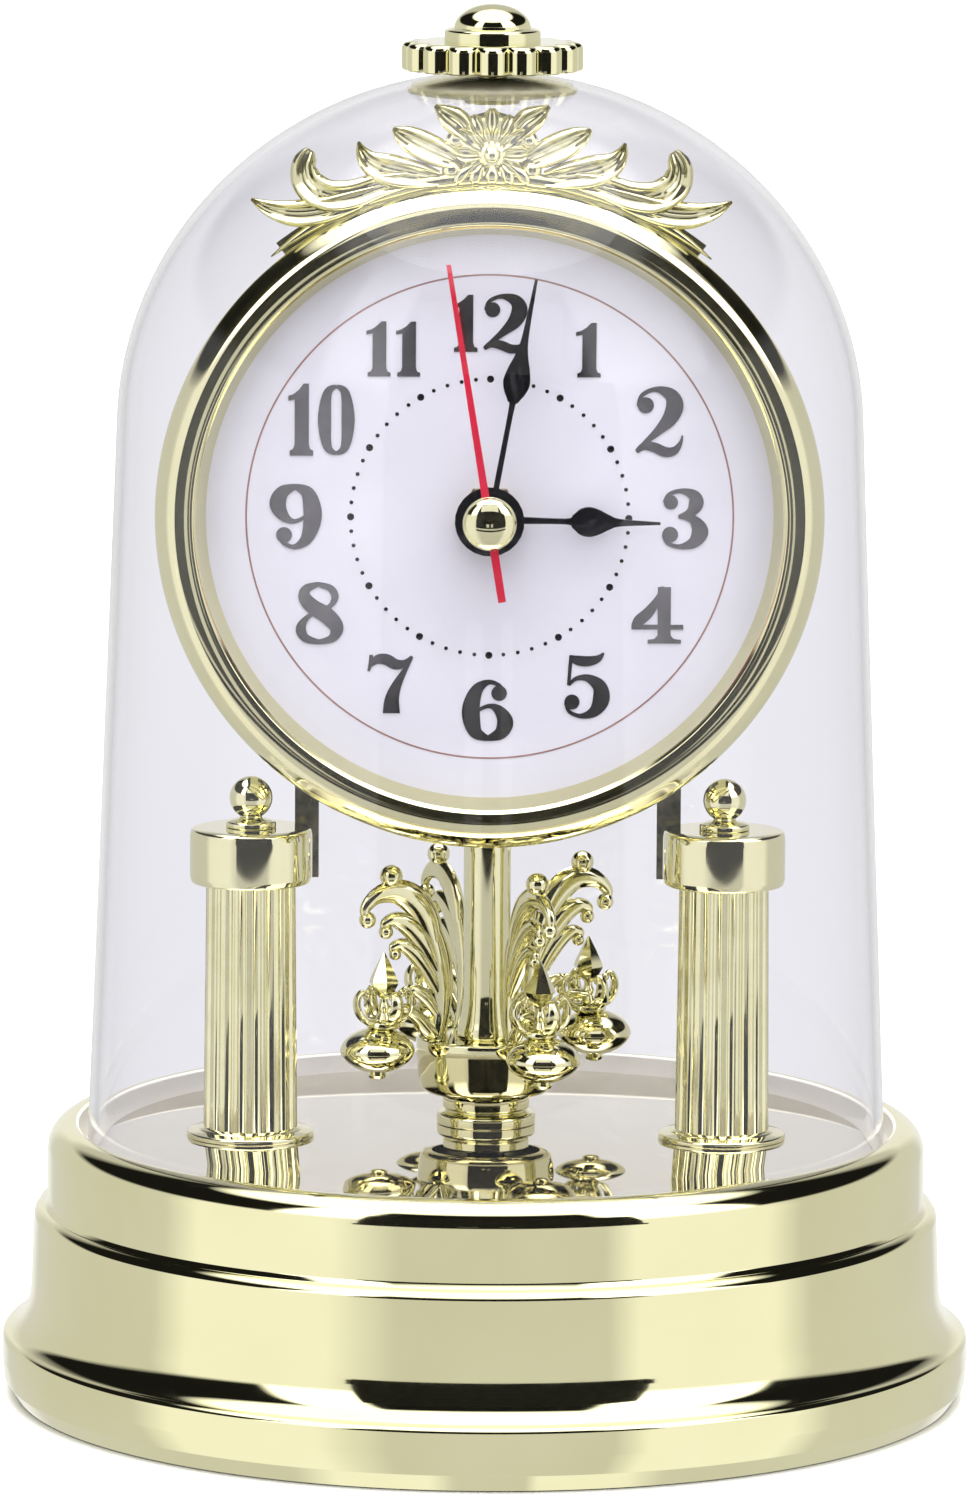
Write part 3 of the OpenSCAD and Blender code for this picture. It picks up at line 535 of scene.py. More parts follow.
GOLD = metal("plated_gold", (0.84, 0.80, 0.49), (0.88, 0.85, 0.54), (0.035, 0.075), wave=2.2e-5)
GOLD_FINE = metal("plated_gold_fine", (0.80, 0.76, 0.44), (0.88, 0.85, 0.54), (0.05, 0.12),
                  wave=6e-6, grain=1.5e-6, scale=160)
# Near-white matt colour for the wall and ledge round the deck: painted light standing in for the
# light the shaded plated wall would reflect
WALL_PAINTED_LIGHT = metal("painted_light_wall", (0.92, 0.90, 0.80), (0.95, 0.93, 0.85), (0.42, 0.52), grain=2e-6,
              metallic=0.0)
MIRROR = metal("mirror_deck", (0.74, 0.70, 0.56), (0.78, 0.74, 0.60), (0.015, 0.04), wave=3e-6)
WASHER = metal("washer_brass", (0.56, 0.54, 0.36), (0.68, 0.65, 0.46), (0.34, 0.46), grain=4e-6,
               metallic=0.15)
AGED = metal("aged_brass", (0.07, 0.07, 0.05), (0.26, 0.25, 0.18), (0.24, 0.42), wave=1e-5,
             grain=3e-6, scale=420)
TURNED = metal("turned_brass", (0.62, 0.48, 0.20), (0.72, 0.58, 0.27), (0.18, 0.3), grain=3e-6)
STEEL = metal("zinc_steel", (0.46, 0.47, 0.48), (0.60, 0.61, 0.62), (0.24, 0.4), grain=3e-6)
FOIL = metal("numeral_foil", (0.30, 0.29, 0.31), (0.40, 0.39, 0.41), (0.10, 0.16), grain=1e-6)
BLACK = moulded("black_moulding", (0.012, 0.012, 0.013), (0.03, 0.03, 0.032))
WHITE = moulded("wheel_moulding", (0.70, 0.70, 0.66), (0.80, 0.80, 0.77), (0.34, 0.44))
RUBBER = moulded("foot_rubber", (0.03, 0.03, 0.032), (0.055, 0.055, 0.058), (0.7, 0.85), 1.2e-5)
DIAL = enamel("dial_face", (0.69, 0.685, 0.735), (0.74, 0.735, 0.785), (0.32, 0.42))
TRACK = enamel("dial_track", (0.26, 0.14, 0.12), (0.36, 0.21, 0.18))
HAND_BLACK = enamel("hand_black", (0.006, 0.006, 0.007), (0.014, 0.014, 0.016), (0.08, 0.16))
HAND_RED = enamel("hand_red", (0.50, 0.012, 0.035), (0.62, 0.022, 0.055), (0.14, 0.22))
GLASS = glass_look()
BY_SLOT = {
    "gold_plate": GOLD, "mirror_deck": MIRROR, "aged_brass": AGED, "turned_brass": TURNED,
    "zinc_steel": STEEL, "coil_wire": coil_look(), "black_plastic": BLACK,
    "wheel_plastic": WHITE, "cell_sleeve": cell_look(), "circuit_board": board_look(),
    "foot_rubber": RUBBER, "dial_enamel": DIAL, "black_enamel": HAND_BLACK,
    "red_enamel": HAND_RED, "clear_glass": GLASS,
}


def dress_frame():
    """Gives every CAD node the material of its slot."""
    for part in frame["record"]["subparts"]:
        node = frame["nodes"][part["node"]]
        look = BY_SLOT[part["material_slot"]].material
        if not node.material_slots:
            node.data.materials.append(look)
        for material_slot in node.material_slots:
            material_slot.material = look


def plated(name, shape, body, node, look=GOLD, sharp=40):
    """A gold plated piece that stands for one CAD node."""
    piece(name, shape, body, look, [node], sharp)


# ---- base and columns ----

def base():
    cove = smooth([(FOOT_R, 8.7), (74.93, 9.25), (74.5, 9.7), (73.8, 10.05), (72.9, 10.7),
                   (72.1, 11.6), (71.45, 12.8), (70.95, 14.2), (70.66, 15.8), (70.55, 17.2)], 4)
    outline = rounded([(FOOT_R - 0.5, 0, 0.4), (FOOT_R, 5.5, 3), (FOOT_R, 8.6)])
    outline += cove
    outline += rounded([(70.5, 18.2), (70.1, 28.2, 0.6), (69.6, 29.0), (68.5, 29.45, 0.3),
                        (68.0, 30.2, 0.5), (68.0, 31.5)])[:-1]
    outline += arc(64, RIM_Z - 4, 4, 0, 90, 14)
    outline += rounded([(63.6, RIM_Z), (63.2, RIM_Z - 0.3, 0.3), (63.2, 37.5, 0.2), (57.5, 37.5),
                        (57.5, 36), (66, 36), (66.4, 30), (68.4, 27.5), (68.7, 16.5),
                        (69.4, 14.2), (71.2, 12), (72.9, 9), (72.9, 0)])
    verts, faces = lathe(outline, 288)
    shape = Shape().add((verts, faces))
    # The ledge and the wall around the deck get a near-white matt colour: painted light, so that
    # this shaded wall looks as pale as a lit, reflecting plated rim
    rim_r, ledge_z = 63.65, 36.5
    for i, face in enumerate(faces):
        z = sum(verts[k][2] for k in face) / len(face)
        r = math.hypot(verts[face[0]][0], verts[face[0]][1])
        if r < rim_r and z > ledge_z:
            shape.looks[i] = 1
    boss = lathe([(1.5, 30), (3.4, 30), (3.4, 36.1), (1.5, 36.1)], 32)
    for a in (45, 135, 225, 315):
        shape.add(boss, turn(a) @ at(60.3, 0, 0))
    plated("base_plated", shape, "frame", "base_shell", [GOLD, WALL_PAINTED_LIGHT])


def deck():
    outline = rounded([(0, DECK_Z), (DECK_R, DECK_Z, 0.25), (DECK_R, DECK_LOW),
                       (DECK_R - 1, DECK_LOW), (DECK_R - 1, DECK_Z - 1), (0, DECK_Z - 1)])
    piece("deck_mirror", Shape().add(lathe(outline, 192)), "frame", MIRROR,
          ["deck_plate"])


def column(side, name, node):
    foot_r, top_r, flutes, fine = 7.3, 6.92, 20, 14
    groove_share, groove_depth, dip = 0.52, 0.52, 0.07
    levels = [(DECK_Z + 0.9, 0.0), (DECK_Z + 1.4, 1.0), (COLUMN_TOP - 0.6, 1.0),
              (COLUMN_TOP, 0.0)]
    rings = []
    for z, cut in levels:
        share = (z - DECK_Z) / (COLUMN_TOP - DECK_Z)
        r = foot_r + (top_r - foot_r) * share
        ring = []
        for k in range(flutes * fine):
            a = 2 * math.pi * k / (flutes * fine)
            phase = abs((k % fine) / fine - 0.5) * 2
            groove = max(0.0, 1 - phase / groove_share)
            depth = cut * groove_depth * math.sqrt(1 - (1 - groove) ** 2) + dip * phase ** 4 * cut
            ring.append(((r - depth) * math.cos(a), (r - depth) * math.sin(a), z))
        rings.append(ring)
    foot = rounded([(0.1, DECK_Z), (RING_R, DECK_Z, 0.12), (RING_R, DECK_Z + 0.85, 0.4),
                    (8.1, DECK_Z + 1.1, 0.2), (7.6, DECK_Z + 1.5), (0.1, DECK_Z + 1.5)])
    shape = Shape().add(loft(rings)).add(lathe(foot, 96))
    for v in shape.verts:
        v.x += side * COLUMN_X
    plated(name, shape, "frame", node, GOLD_FINE, 50)


def capital(side, name, node):
    outline = rounded([(0, CAPITAL_Z), (CAPITAL_R - 0.25, CAPITAL_Z, 0.5),
                       (CAPITAL_R, CAPITAL_Z + 1.0, 0.5), (CAPITAL_R, CAPITAL_TOP - 1.4, 0.5),
                       (CAPITAL_R - 0.2, CAPITAL_TOP - 0.15, 0.6),
                       (CAPITAL_R - 1.4, CAPITAL_TOP, 0.5), (0, CAPITAL_TOP)])
    shape = Shape().add(lathe(outline, 128), at(side * COLUMN_X, 0, 0))
    plated(name, shape, "frame", node)


def cap_nuts():
    z = CAPITAL_TOP
    r = 3.35
    centre = NUT_TOP - r
    outline = rounded([(0, z), (3.9, z, 0.15), (3.9, z + 0.9, 0.35), (2.9, z + 1.25, 0.3),
                       (1.75, z + 1.5, 0.3), (1.6, z + 2.0)])
    outline += arc(0, centre, r, -60, 90, 24)
    outline[-1] = (0, centre + r)
    shape = Shape()
    for side in (-1, 1):
        shape.add(lathe(outline, 64), at(side * COLUMN_X, 0, 0))
    plated("ball_nuts", shape, "frame", "cap_nuts")


# ---- pendulum ----

def pedestal():
    z = DECK_Z
    outline = rounded([(0, z), (STAND_R, z, 0.15), (STAND_R, z + 1.75, 0.6), (6.7, z + 2.0, 0.1),
                       (6.25, z + 2.25, 0.2), (6.7, z + 2.5, 0.1), (6.8, z + 2.7, 0.2),
                       (6.8, z + 4.3, 0.4), (6.2, z + 4.75, 0.3), (0, z + 4.75)])
    plated("stand_plated", Shape().add(lathe(outline, 96), AXIS), "frame", "pedestal")


def hub():
    z, top = HUB_Z, HUB_TOP
    outer = smooth([(9.7, z + 0.15), (10.35, z + 0.9), (10.65, z + 2.4), (10.85, z + 4.6),
                    (HUB_R, z + 6.8), (HUB_R, top - 0.6)], 5)
    outline = rounded([(1.05, z + 0.4), (3, z + 0.4), (3, top - 1.8), (9.7, top - 1.8),
                       (9.1, z + 2), (8.6, z), (9.4, z, 0.15)])
    outline += outer + rounded([(HUB_R, top - 0.5), (HUB_R - 0.1, top, 0.5), (9.6, top, 0.3),
                                (9.2, top - 0.25, 0.3), (1.05, top - 0.25)])[1:]
    plated("hub_plated", Shape().add(lathe(outline, 128), AXIS), "pendulum", "hub_cup")


def rod():
    z = HUB_TOP - 0.3
    guide = ROD_TOP - 6
    flare = smooth([(4.75, z + 0.7), (4.65, z + 1.5), (4.2, z + 3.2), (3.85, z + 5.2),
                    (3.7, z + 7.4), (3.7, z + 12)], 5)
    outline = [(0, z), (4.5, z), (4.75, z + 0.3)] + flare
    outline += rounded([(3.7, guide - 1.5), (3.7, guide - 0.5, 0.3), (2, guide - 0.3), (2, ROD_TOP),
                        (0, ROD_TOP)])
    plated("rod_plated", Shape().add(lathe(outline, 96), AXIS), "pendulum", "pendulum_rod")


ARM_LIMBS = [
    # link over the ball, and foot on the hub
    [(8.4, 53.9, 1.3, 1.0), (10.2, 55.3, 1.2, 1.0), (12.6, 57.7, 1.0, 0.95),
     (15.2, 58.9, 0.85, 0.9), (17.9, 58.8, 0.6, 0.8)],
    # stem
    [(8.9, 53.6, 1.3, 1.05), (7.95, 57.5, 1.3, 1.0), (7.8, 62, 1.7, 1.0),
     (8.4, 66.5, 1.85, 1.0), (9.6, 70.5, 1.6, 0.95)],
    # three hooks, the largest on top
    [(8.8, 66.8, 1.1, 0.9), (10.2, 72, 1.9, 1.05), (12.6, 75.6, 2.1, 1.1),
     (15.8, 77.4, 1.75, 1.05), (19.2, 77.0, 1.25, 0.95), (21.3, 75.1, 0.85, 0.75),
     (21.1, 73.6, 0.6, 0.6)],
    [(8.6, 64.2, 1.0, 0.85), (10.6, 68.4, 1.6, 1.0), (13.2, 71.5, 1.6, 1.0),
     (16.0, 73.0, 1.15, 0.9), (17.9, 72.5, 0.75, 0.7), (17.9, 71.5, 0.5, 0.55)],
    [(8.4, 61, 0.9, 0.8), (10.2, 64.6, 1.35, 0.9), (12.6, 67.5, 1.3, 0.9),
     (14.9, 69.0, 0.95, 0.8), (16.5, 68.7, 0.65, 0.6), (16.4, 67.9, 0.45, 0.5)],
    # small curl at the foot, above the hub
    [(8.6, 57.6, 0.8, 0.7), (10.4, 60.2, 1.05, 0.8), (12.6, 61.6, 0.85, 0.7),
     (13.8, 60.9, 0.55, 0.5), (13.4, 60.1, 0.4, 0.4)],
]
ARM_BALLS = [(20.9, 73.3, 1.35), (17.7, 71.2, 1.15), (16.1, 67.6, 1.0), (13.2, 59.9, 0.8)]
LEAF = [(1.2, 57.0, 0.55, 1.0), (2.9, 57.3, 0.55, 1.35), (4.3, 58.6, 0.5, 1.3),
        (4.7, 60.6, 0.45, 1.05), (3.9, 62.0, 0.4, 0.8), (3.1, 61.5, 0.35, 0.6)]


def arm(number):
    shape = Shape()
    place = AXIS @ turn(ARM_TURN + 90 * (number - 1))
    for path in ARM_LIMBS:
        shape.add(limb(path, ridge=0.12), place)
    for x, z, r in ARM_BALLS:
        shape.add(ball(x, z, r), place)
    # Ball on a short neck over the largest hook
    shape.add(limb([(16.2, 76.8, 0.9, 0.9), (16.5, 78.2, 0.6, 0.6)]), place)
    shape.add(ball(16.8, 79.9, 1.8), place)
    around_bud = place @ at(BUD_REACH, 0, 0)
    for a in (0, 90, 180, 270):
        shape.add(limb(LEAF, ridge=0.1), around_bud @ turn(a))
        shape.add(ball(3.0, 61.3, 0.62, 20), around_bud @ turn(a))
    plated(f"plume_{number}", shape, "pendulum", f"arm_{number}", GOLD_FINE, 50)


# Radius and height of each ring of the six-sided bud
BUD = [(0.55, 60.6), (1.7, 61.9), (2.4, 63.2), (2.2, 63.9), (1.15, 66.1), (0.12, 68.0)]


def ornaments():
    half_w, half_h = 5.85, 3.6
    under = [(half_w * s, -half_h * (1 - s * s) ** 0.6) for s in
             [0.26, 0.36, 0.46, 0.56, 0.66, 0.75, 0.83, 0.89, 0.935, 0.965]]
    knob = [(0, -4.7), (0.7, -4.65), (1.25, -4.35), (1.45, -3.95), (1.3, -3.6)]
    outline = knob + under + [(half_w, -0.12), (half_w, 0.12)]
    outline += [(r, -z) for r, z in under[::-1]] + [(0, half_h)]
    balls, buds = Shape(), Shape()
    for i in range(4):
        place = AXIS @ turn(ARM_TURN + 90 * i)
        balls.add(lathe(outline, 72), place @ at(BALL_REACH, 0, BALL_Z))
        here = place @ at(BUD_REACH, 0, 0)
        z = BALL_Z + 3.3
        collar = rounded([(0, z), (2.2, z, 0.2), (2.9, z + 0.5, 0.25), (2.7, z + 1.2, 0.3),
                          (1.3, z + 1.5, 0.3), (0.75, z + 2.6, 0.3), (1.0, z + 3.4, 0.3),
                          (0.65, z + 4.2), (0.6, z + 5.2), (0, z + 5.2)])
        buds.add(lathe(collar, 40), here)
        buds.add(loft([[(x, y, h) for x, y in arc(0, 0, r, 15, 315, 5)] for r, h in BUD]), here)
    plated("pendulum_balls", balls, "pendulum", "pumpkin_balls", sharp=32)
    plated("pendulum_buds", buds, "pendulum", "bud_finials", GOLD_FINE, 20)


# ---- head ----

def drum():
    front, back = CASE_FRONT, CASE_BACK
    outline = rounded([(CASE_R, front), (CASE_R, back, 1.4), (38, back, 0.4), (38, back - 1.5),
                       (CASE_R - 1.5, back - 1.5, 0.8), (CASE_R - 1.5, front + 2.2),
                       (42.5, front + 2.2), (42.5, front + 1), (CASE_R - 1.5, front + 1),
                       (CASE_R - 1.5, front)])
    plated("drum_plated", Shape().add(lathe(outline, 224), AROUND_HEAD), "frame", "head_case")


def bezel():
    y, face = CASE_FRONT, BEZEL_FRONT
    ring = rounded([(43.2, y), (43.25, y - 0.3, 0.1), (44.35, y - 3.5, 0.3), (44.5, y - 4.3, 0.25),
                    (45.0, face + 0.22)])
    ring += smooth([(45.1, face + 0.12), (45.6, face + 0.04), (46.5, face), (47.4, face + 0.05),
                    (47.9, face + 0.16), (48.6, face + 0.55), (49.4, face + 1.3),
                    (50.2, face + 2.2), (50.7, face + 3.1), (BEZEL_R, face + 3.9),
                    (50.7, face + 4.3), (49.8, face + 4.6), (48.7, y - 0.1)], 5)
    ring += rounded([(48.4, y + 0.6), (48.4, BEZEL_BACK, 0.3), (CASE_R + 0.02, BEZEL_BACK),
                     (CASE_R + 0.02, y)])
    plated("bezel_plated", Shape().add(lathe(ring, 256), AROUND_HEAD), "frame", "bezel")


RIMMED = [(-1, 0), (-0.98, 0.42), (-0.86, 0.86), (-0.7, 1.0), (-0.52, 0.86), (-0.34, 0.5),
          (-0.14, 0.42), (0.0, 0.52), (0.14, 0.42), (0.34, 0.5), (0.52, 0.86), (0.7, 1.0),
          (0.86, 0.86), (0.98, 0.42), (1, 0)]
DOMED = [(-1, 0), (-0.95, 0.38), (-0.78, 0.68), (-0.5, 0.9), (-0.2, 0.99), (0, 1.0), (0.2, 0.99),
         (0.5, 0.9), (0.78, 0.68), (0.95, 0.38), (1, 0)]
CREST_LEAVES = [
    # outer pointed leaf
    [(17.5, 49.6, 1.2, 1.6), (21.5, 48.0, 1.9, 1.8), (26, 46.6, 2.2, 2.0), (30, 46.2, 2.0, 1.9),
     (33.6, 46.9, 1.3, 1.7), (36.2, 48.2, 0.25, 1.2)],
    # open scroll
    [(12.5, 51.5, 1.4, 1.7), (17, 50.5, 2.0, 2.0), (21, 49.1, 2.3, 2.3), (24.8, 48.9, 2.5, 2.5),
     (27.6, 50.6, 2.45, 2.6), (28.3, 53.0, 2.0, 2.5), (27.7, 54.7, 1.4, 2.1),
     (27.2, 55.6, 0.7, 1.6)],
    # curved leaf
    [(8.0, 51.6, 1.3, 1.8), (11.5, 52.1, 2.2, 2.2), (15.5, 52.8, 2.5, 2.4),
     (18.2, 53.9, 1.9, 2.2), (19.5, 55.4, 1.1, 1.9), (20.1, 57.0, 0.25, 1.4)],
    # small leaf
    [(5.6, 54.4, 1.5, 2.0), (8.4, 55.6, 2.2, 2.4), (11.2, 56.9, 2.2, 2.4),
     (13.5, 58.1, 1.5, 2.1), (14.9, 59.0, 0.35, 1.6)],
    # ear leaf
    [(3.2, 58.0, 1.2, 2.0), (5.0, 59.8, 2.0, 2.4), (6.8, 61.0, 1.6, 2.2), (8.6, 62.3, 0.3, 1.5)],
]


def crest():
    back = at(0, CREST_BACK, HEAD_Z) @ UPRIGHT
    deep = CREST_BACK - CREST_FRONT
    flat, overlap = 1.0, 0.1
    band_r, seat_r, boss_z = 52.9, 50.7, 55.2
    outlines = []
    for path in CREST_LEAVES:
        for s in (1, -1):
            line = [(s * x, y, 1.35 * w) for x, y, w, h in path]
            outlines.append(stroke(line, 4))
    outlines.append(arc(0, 0, band_r, 52, 128, 38) + arc(0, 0, seat_r, 128, 52, 38))
    outlines.append([(6.3 * c, 55.0 + 6.6 * s) for c, s in arc(0, 0, 1, 0, 350, 35)])
    hole = arc(0, 0, seat_r, 0, 358, 179)
    shape = Shape().add(plate(outlines, [hole], flat), back)
    front = back @ at(0, 0, flat - overlap)
    tall = (deep - flat + overlap) / 2.6
    for path in CREST_LEAVES:
        for s in (1, -1):
            line = [(s * x, y, w, h * tall) for x, y, w, h in path]
            shape.add(ribbon(line, RIMMED), front)
    # Fan of petals over the boss, and a skirt under it
    for a, length, wide in ((0, 6.9, 1.5), (27, 6.6, 1.5), (-27, 6.6, 1.5), (55, 6.2, 1.5),
                            (-55, 6.2, 1.5), (86, 5.8, 1.45), (-86, 5.8, 1.45), (118, 5.2, 1.3),
                            (-118, 5.2, 1.3)):
        petal = [(0, 1.4, 0.5, 1.3 * tall), (0, 3.0, wide * 0.9, 2.1 * tall),
                 (0, length - 1.3, wide, 2.3 * tall), (0, length, 0.35, 1.2 * tall)]
        shape.add(ribbon(petal, RIMMED), front @ at(0, boss_z, 0) @ turn(a))
    for x, wide in ((-5.2, 1.0), (-2.7, 1.2), (0, 1.3), (2.7, 1.2), (5.2, 1.0)):
        fall = [(x * 0.55, 53.6, 0.6, 1.8 * tall), (x * 0.85, 52.4, wide, 2.2 * tall),
                (x, 51.4, wide * 0.9, 1.9 * tall), (x * 1.05, 50.8, wide * 0.6, 1.2 * tall)]
        shape.add(ribbon(fall, DOMED), front)
    for s in (-1, 1):
        for cx, cy, size in ((5.6, 57.4, 1.35), (6.1, 53.0, 1.5)):
            shape.add(dome_button(size, 1.9 * tall), front @ at(s * cx, cy, 0))
    shape.add(dome_button(2.3, 1.9 * tall), front @ at(0, boss_z, 0))
    shape.add(dome_button(1.5, 2.6 * tall), front @ at(0, boss_z, 0))
    # Band that follows the bezel
    band = [(51.8 * math.sin(math.radians(a)), 51.8 * math.cos(math.radians(a)),
             0.15 + 1.0 * (1 - (a / 40) ** 4), 1.5 * tall) for a in range(-40, 41, 4)]
    shape.add(ribbon(band, DOMED, 3), front)
    plated("crest_plated", shape, "frame", "crest", GOLD_FINE)


def dome_button(r, height, segments=36):
    """A flat-backed button with a rounded top."""
    edge = [(r * c, height * s) for c, s in arc(0, 0, 1, 0, 80, 8)]
    return lathe([(0, 0)] + edge + [(0, height)], segments)


# ---- dial ----

ROUND = [(math.cos(2 * math.pi * k / 24), math.sin(2 * math.pi * k / 24)) for k in range(24)]


def disc(x, y, r):
    return [(x + r * c, y + r * s) for c, s in ROUND]


# Strokes (x, y, width) and discs (x, y, r) of each digit, in shares of its own width and height;
# widths and radii are shares of the width
DIGITS = {
    "1": {"area": [(0.1, 0.0), (0.95, 0.0), (0.95, 0.07), (0.84, 0.09), (0.79, 0.16),
           (0.79, 1.0), (0.6, 1.0), (0.42, 0.91), (0.22, 0.85), (0.05, 0.83), (0.05, 0.76),
           (0.28, 0.78), (0.28, 0.16), (0.22, 0.09), (0.1, 0.07)]},
    "2": {"line": [
        [(0.1, 0.73, 0.08), (0.17, 0.89, 0.08), (0.42, 0.975, 0.1), (0.69, 0.91, 0.24),
         (0.79, 0.75, 0.33), (0.7, 0.55, 0.29), (0.46, 0.35, 0.16), (0.22, 0.18, 0.09),
         (0.08, 0.05, 0.07)],
        [(0.07, 0.06, 0.08), (0.22, 0.14, 0.15), (0.42, 0.12, 0.19), (0.62, 0.055, 0.19),
         (0.8, 0.08, 0.15), (0.91, 0.2, 0.07), (0.94, 0.3, 0.03)]],
          "dot": [(0.24, 0.74, 0.155)]},
    "3": {"line": [
        [(0.1, 0.78, 0.07), (0.2, 0.92, 0.08), (0.44, 0.975, 0.1), (0.67, 0.9, 0.23),
         (0.72, 0.76, 0.29), (0.6, 0.6, 0.18), (0.38, 0.54, 0.06)],
        [(0.38, 0.54, 0.06), (0.66, 0.49, 0.18), (0.8, 0.29, 0.33), (0.68, 0.1, 0.23),
         (0.42, 0.025, 0.1), (0.18, 0.08, 0.08), (0.09, 0.22, 0.07)]],
          "dot": [(0.23, 0.78, 0.14), (0.22, 0.23, 0.155)]},
    "4": {"area": [(0.5, 0.08), (0.5, 1.0), (0.74, 1.0), (0.74, 0.14), (0.8, 0.08),
           (0.93, 0.065), (0.93, 0.0), (0.32, 0.0), (0.32, 0.065), (0.44, 0.08), (0.5, 0.14)],
          "line": [
        [(0.62, 1.0, 0.1), (0.5, 0.78, 0.13), (0.32, 0.54, 0.2), (0.15, 0.4, 0.2),
         (0.05, 0.31, 0.08)],
        [(0.02, 0.29, 0.09), (0.5, 0.29, 0.09), (0.97, 0.29, 0.09)]]},
    "5": {"line": [
        [(0.17, 0.95, 0.06), (0.3, 0.89, 0.19), (0.52, 0.87, 0.21), (0.74, 0.91, 0.15),
         (0.86, 1.0, 0.04)],
        [(0.2, 0.96, 0.08), (0.17, 0.72, 0.07), (0.15, 0.5, 0.07)],
        [(0.15, 0.5, 0.06), (0.3, 0.6, 0.09), (0.54, 0.61, 0.16), (0.78, 0.48, 0.29),
         (0.81, 0.27, 0.34), (0.66, 0.09, 0.22), (0.4, 0.025, 0.1), (0.17, 0.09, 0.08),
         (0.09, 0.23, 0.07)]],
          "dot": [(0.22, 0.24, 0.155)]},
    "6": {"line": [
        [(0.8, 0.8, 0.07), (0.7, 0.92, 0.08), (0.5, 0.975, 0.1), (0.29, 0.86, 0.22),
         (0.18, 0.62, 0.32), (0.17, 0.38, 0.34), (0.26, 0.13, 0.25), (0.5, 0.025, 0.1)],
        [(0.48, 0.025, 0.1), (0.73, 0.12, 0.25), (0.82, 0.31, 0.31), (0.7, 0.5, 0.2),
         (0.52, 0.575, 0.09), (0.32, 0.51, 0.07), (0.22, 0.42, 0.07)]],
          "dot": [(0.7, 0.79, 0.15)]},
    "7": {"line": [
        [(0.1, 1.0, 0.07), (0.09, 0.86, 0.08), (0.05, 0.72, 0.05)],
        [(0.08, 0.82, 0.08), (0.22, 0.92, 0.18), (0.4, 0.92, 0.22), (0.58, 0.84, 0.21),
         (0.76, 0.86, 0.14), (0.9, 0.98, 0.05)],
        [(0.9, 0.97, 0.06), (0.76, 0.74, 0.1), (0.6, 0.48, 0.19), (0.51, 0.24, 0.28),
         (0.5, 0.0, 0.34)]]},
    "8": {"line": [
        [(0.46, 0.975, 0.09), (0.24, 0.9, 0.17), (0.2, 0.76, 0.24), (0.36, 0.6, 0.29),
         (0.62, 0.46, 0.31), (0.8, 0.27, 0.27), (0.72, 0.09, 0.16), (0.46, 0.025, 0.09)],
        [(0.48, 0.025, 0.09), (0.22, 0.09, 0.16), (0.13, 0.25, 0.19), (0.24, 0.42, 0.1),
         (0.44, 0.53, 0.07), (0.68, 0.62, 0.09), (0.77, 0.77, 0.14), (0.68, 0.91, 0.13),
         (0.44, 0.975, 0.09)]]},
    "0": {"line": [
        [(0.5, 0.97, 0.09), (0.26, 0.87, 0.24), (0.18, 0.5, 0.36), (0.26, 0.13, 0.24),
         (0.5, 0.03, 0.09)],
        [(0.5, 0.03, 0.09), (0.74, 0.13, 0.24), (0.82, 0.5, 0.36), (0.74, 0.87, 0.24),
         (0.5, 0.97, 0.09)]]},
}
# Number: height, and (digit, middle from the numeral's own middle, width) of each digit
NUMERALS = {
    12: (8.7, [("1", -3.9, 4.2), ("2", 2.2, 7.4)]), 1: (8.3, [("1", 0, 4.2)]),
    2: (10.4, [("2", 0, 8.0)]), 3: (9.0, [("3", 0, 7.8)]), 4: (8.7, [("4", 0, 8.3)]),
    5: (10.0, [("5", 0, 7.5)]), 6: (9.2, [("6", 0, 8.0)]), 7: (9.0, [("7", 0, 7.8)]),
    8: (9.4, [("8", 0, 8.1)]), 9: (9.8, [("9", 0, 8.1)]),
    10: (11.0, [("1", -3.1, 4.2), ("0", 2.3, 5.6)]),
    11: (8.4, [("1", -2.2, 4.1), ("1", 2.3, 4.1)]),
}


def digit(name, cx, cy, width, height):
    """The outlines of one digit about its middle."""
    if name == "9":
        return [[(2 * cx - x, 2 * cy - y) for x, y in o] for o in digit("6", cx, cy, width, height)]
    def place(x, y):
        return cx + (x - 0.5) * width, cy + (y - 0.5) * height
    parts = DIGITS[name]
    outlines = []
    if "area" in parts:
        outlines.append([place(x, y) for x, y in parts["area"]])
    for line in parts.get("line", []):
        outlines.append([tuple(p) for p in stroke([(*place(x, y), w * width) for x, y, w in line])])
    for x, y, r in parts.get("dot", []):
        outlines.append(disc(*place(x, y), r * width))
    return outlines


def dial():
    face = rounded([(3.9, DIAL_FRONT), (CASE_R - 1.7, DIAL_FRONT, 0.1), (CASE_R - 1.7, DIAL_BACK),
                    (3.9, DIAL_BACK)])
    piece("dial_disc", Shape().add(lathe(face, 160), AROUND_HEAD), "frame", DIAL,
          ["dial"])
    print_r, print_h, centres = 37.1, 0.06, 29.7
    circle = Shape().add(lathe([(print_r - 0.14, 0), (print_r - 0.1, print_h),
                                (print_r + 0.1, print_h), (print_r + 0.14, 0)], 192), FACE)
    piece("dial_circle", circle, "frame", TRACK)
    dots = Shape()
    for i in range(60):
        r = 0.56 if i % 5 == 0 else 0.31
        dots.add(dome_button(r, 0.16, 16), FACE @ turn(6 * i) @ at(0, 21.2, 0))
    piece("minute_dots", dots, "frame", HAND_BLACK)
    shape = Shape()
    for number, (height, parts) in NUMERALS.items():
        a = math.radians(30 * number)
        cx, cy = centres * math.sin(a), centres * math.cos(a)
        outlines = [o for name, x, w in parts for o in digit(name, cx + x, cy, w, height)]
        shape.add(plate(outlines, thick=0.16), FACE)
    piece("numerals", shape, "frame", FOIL)


def blade(points):
    """The outline of a hand from (distance, half width), smoothed."""
    line = smooth(points, 5)
    return [(p[1], p[0]) for p in line] + [(-p[1], p[0]) for p in line[::-1]]


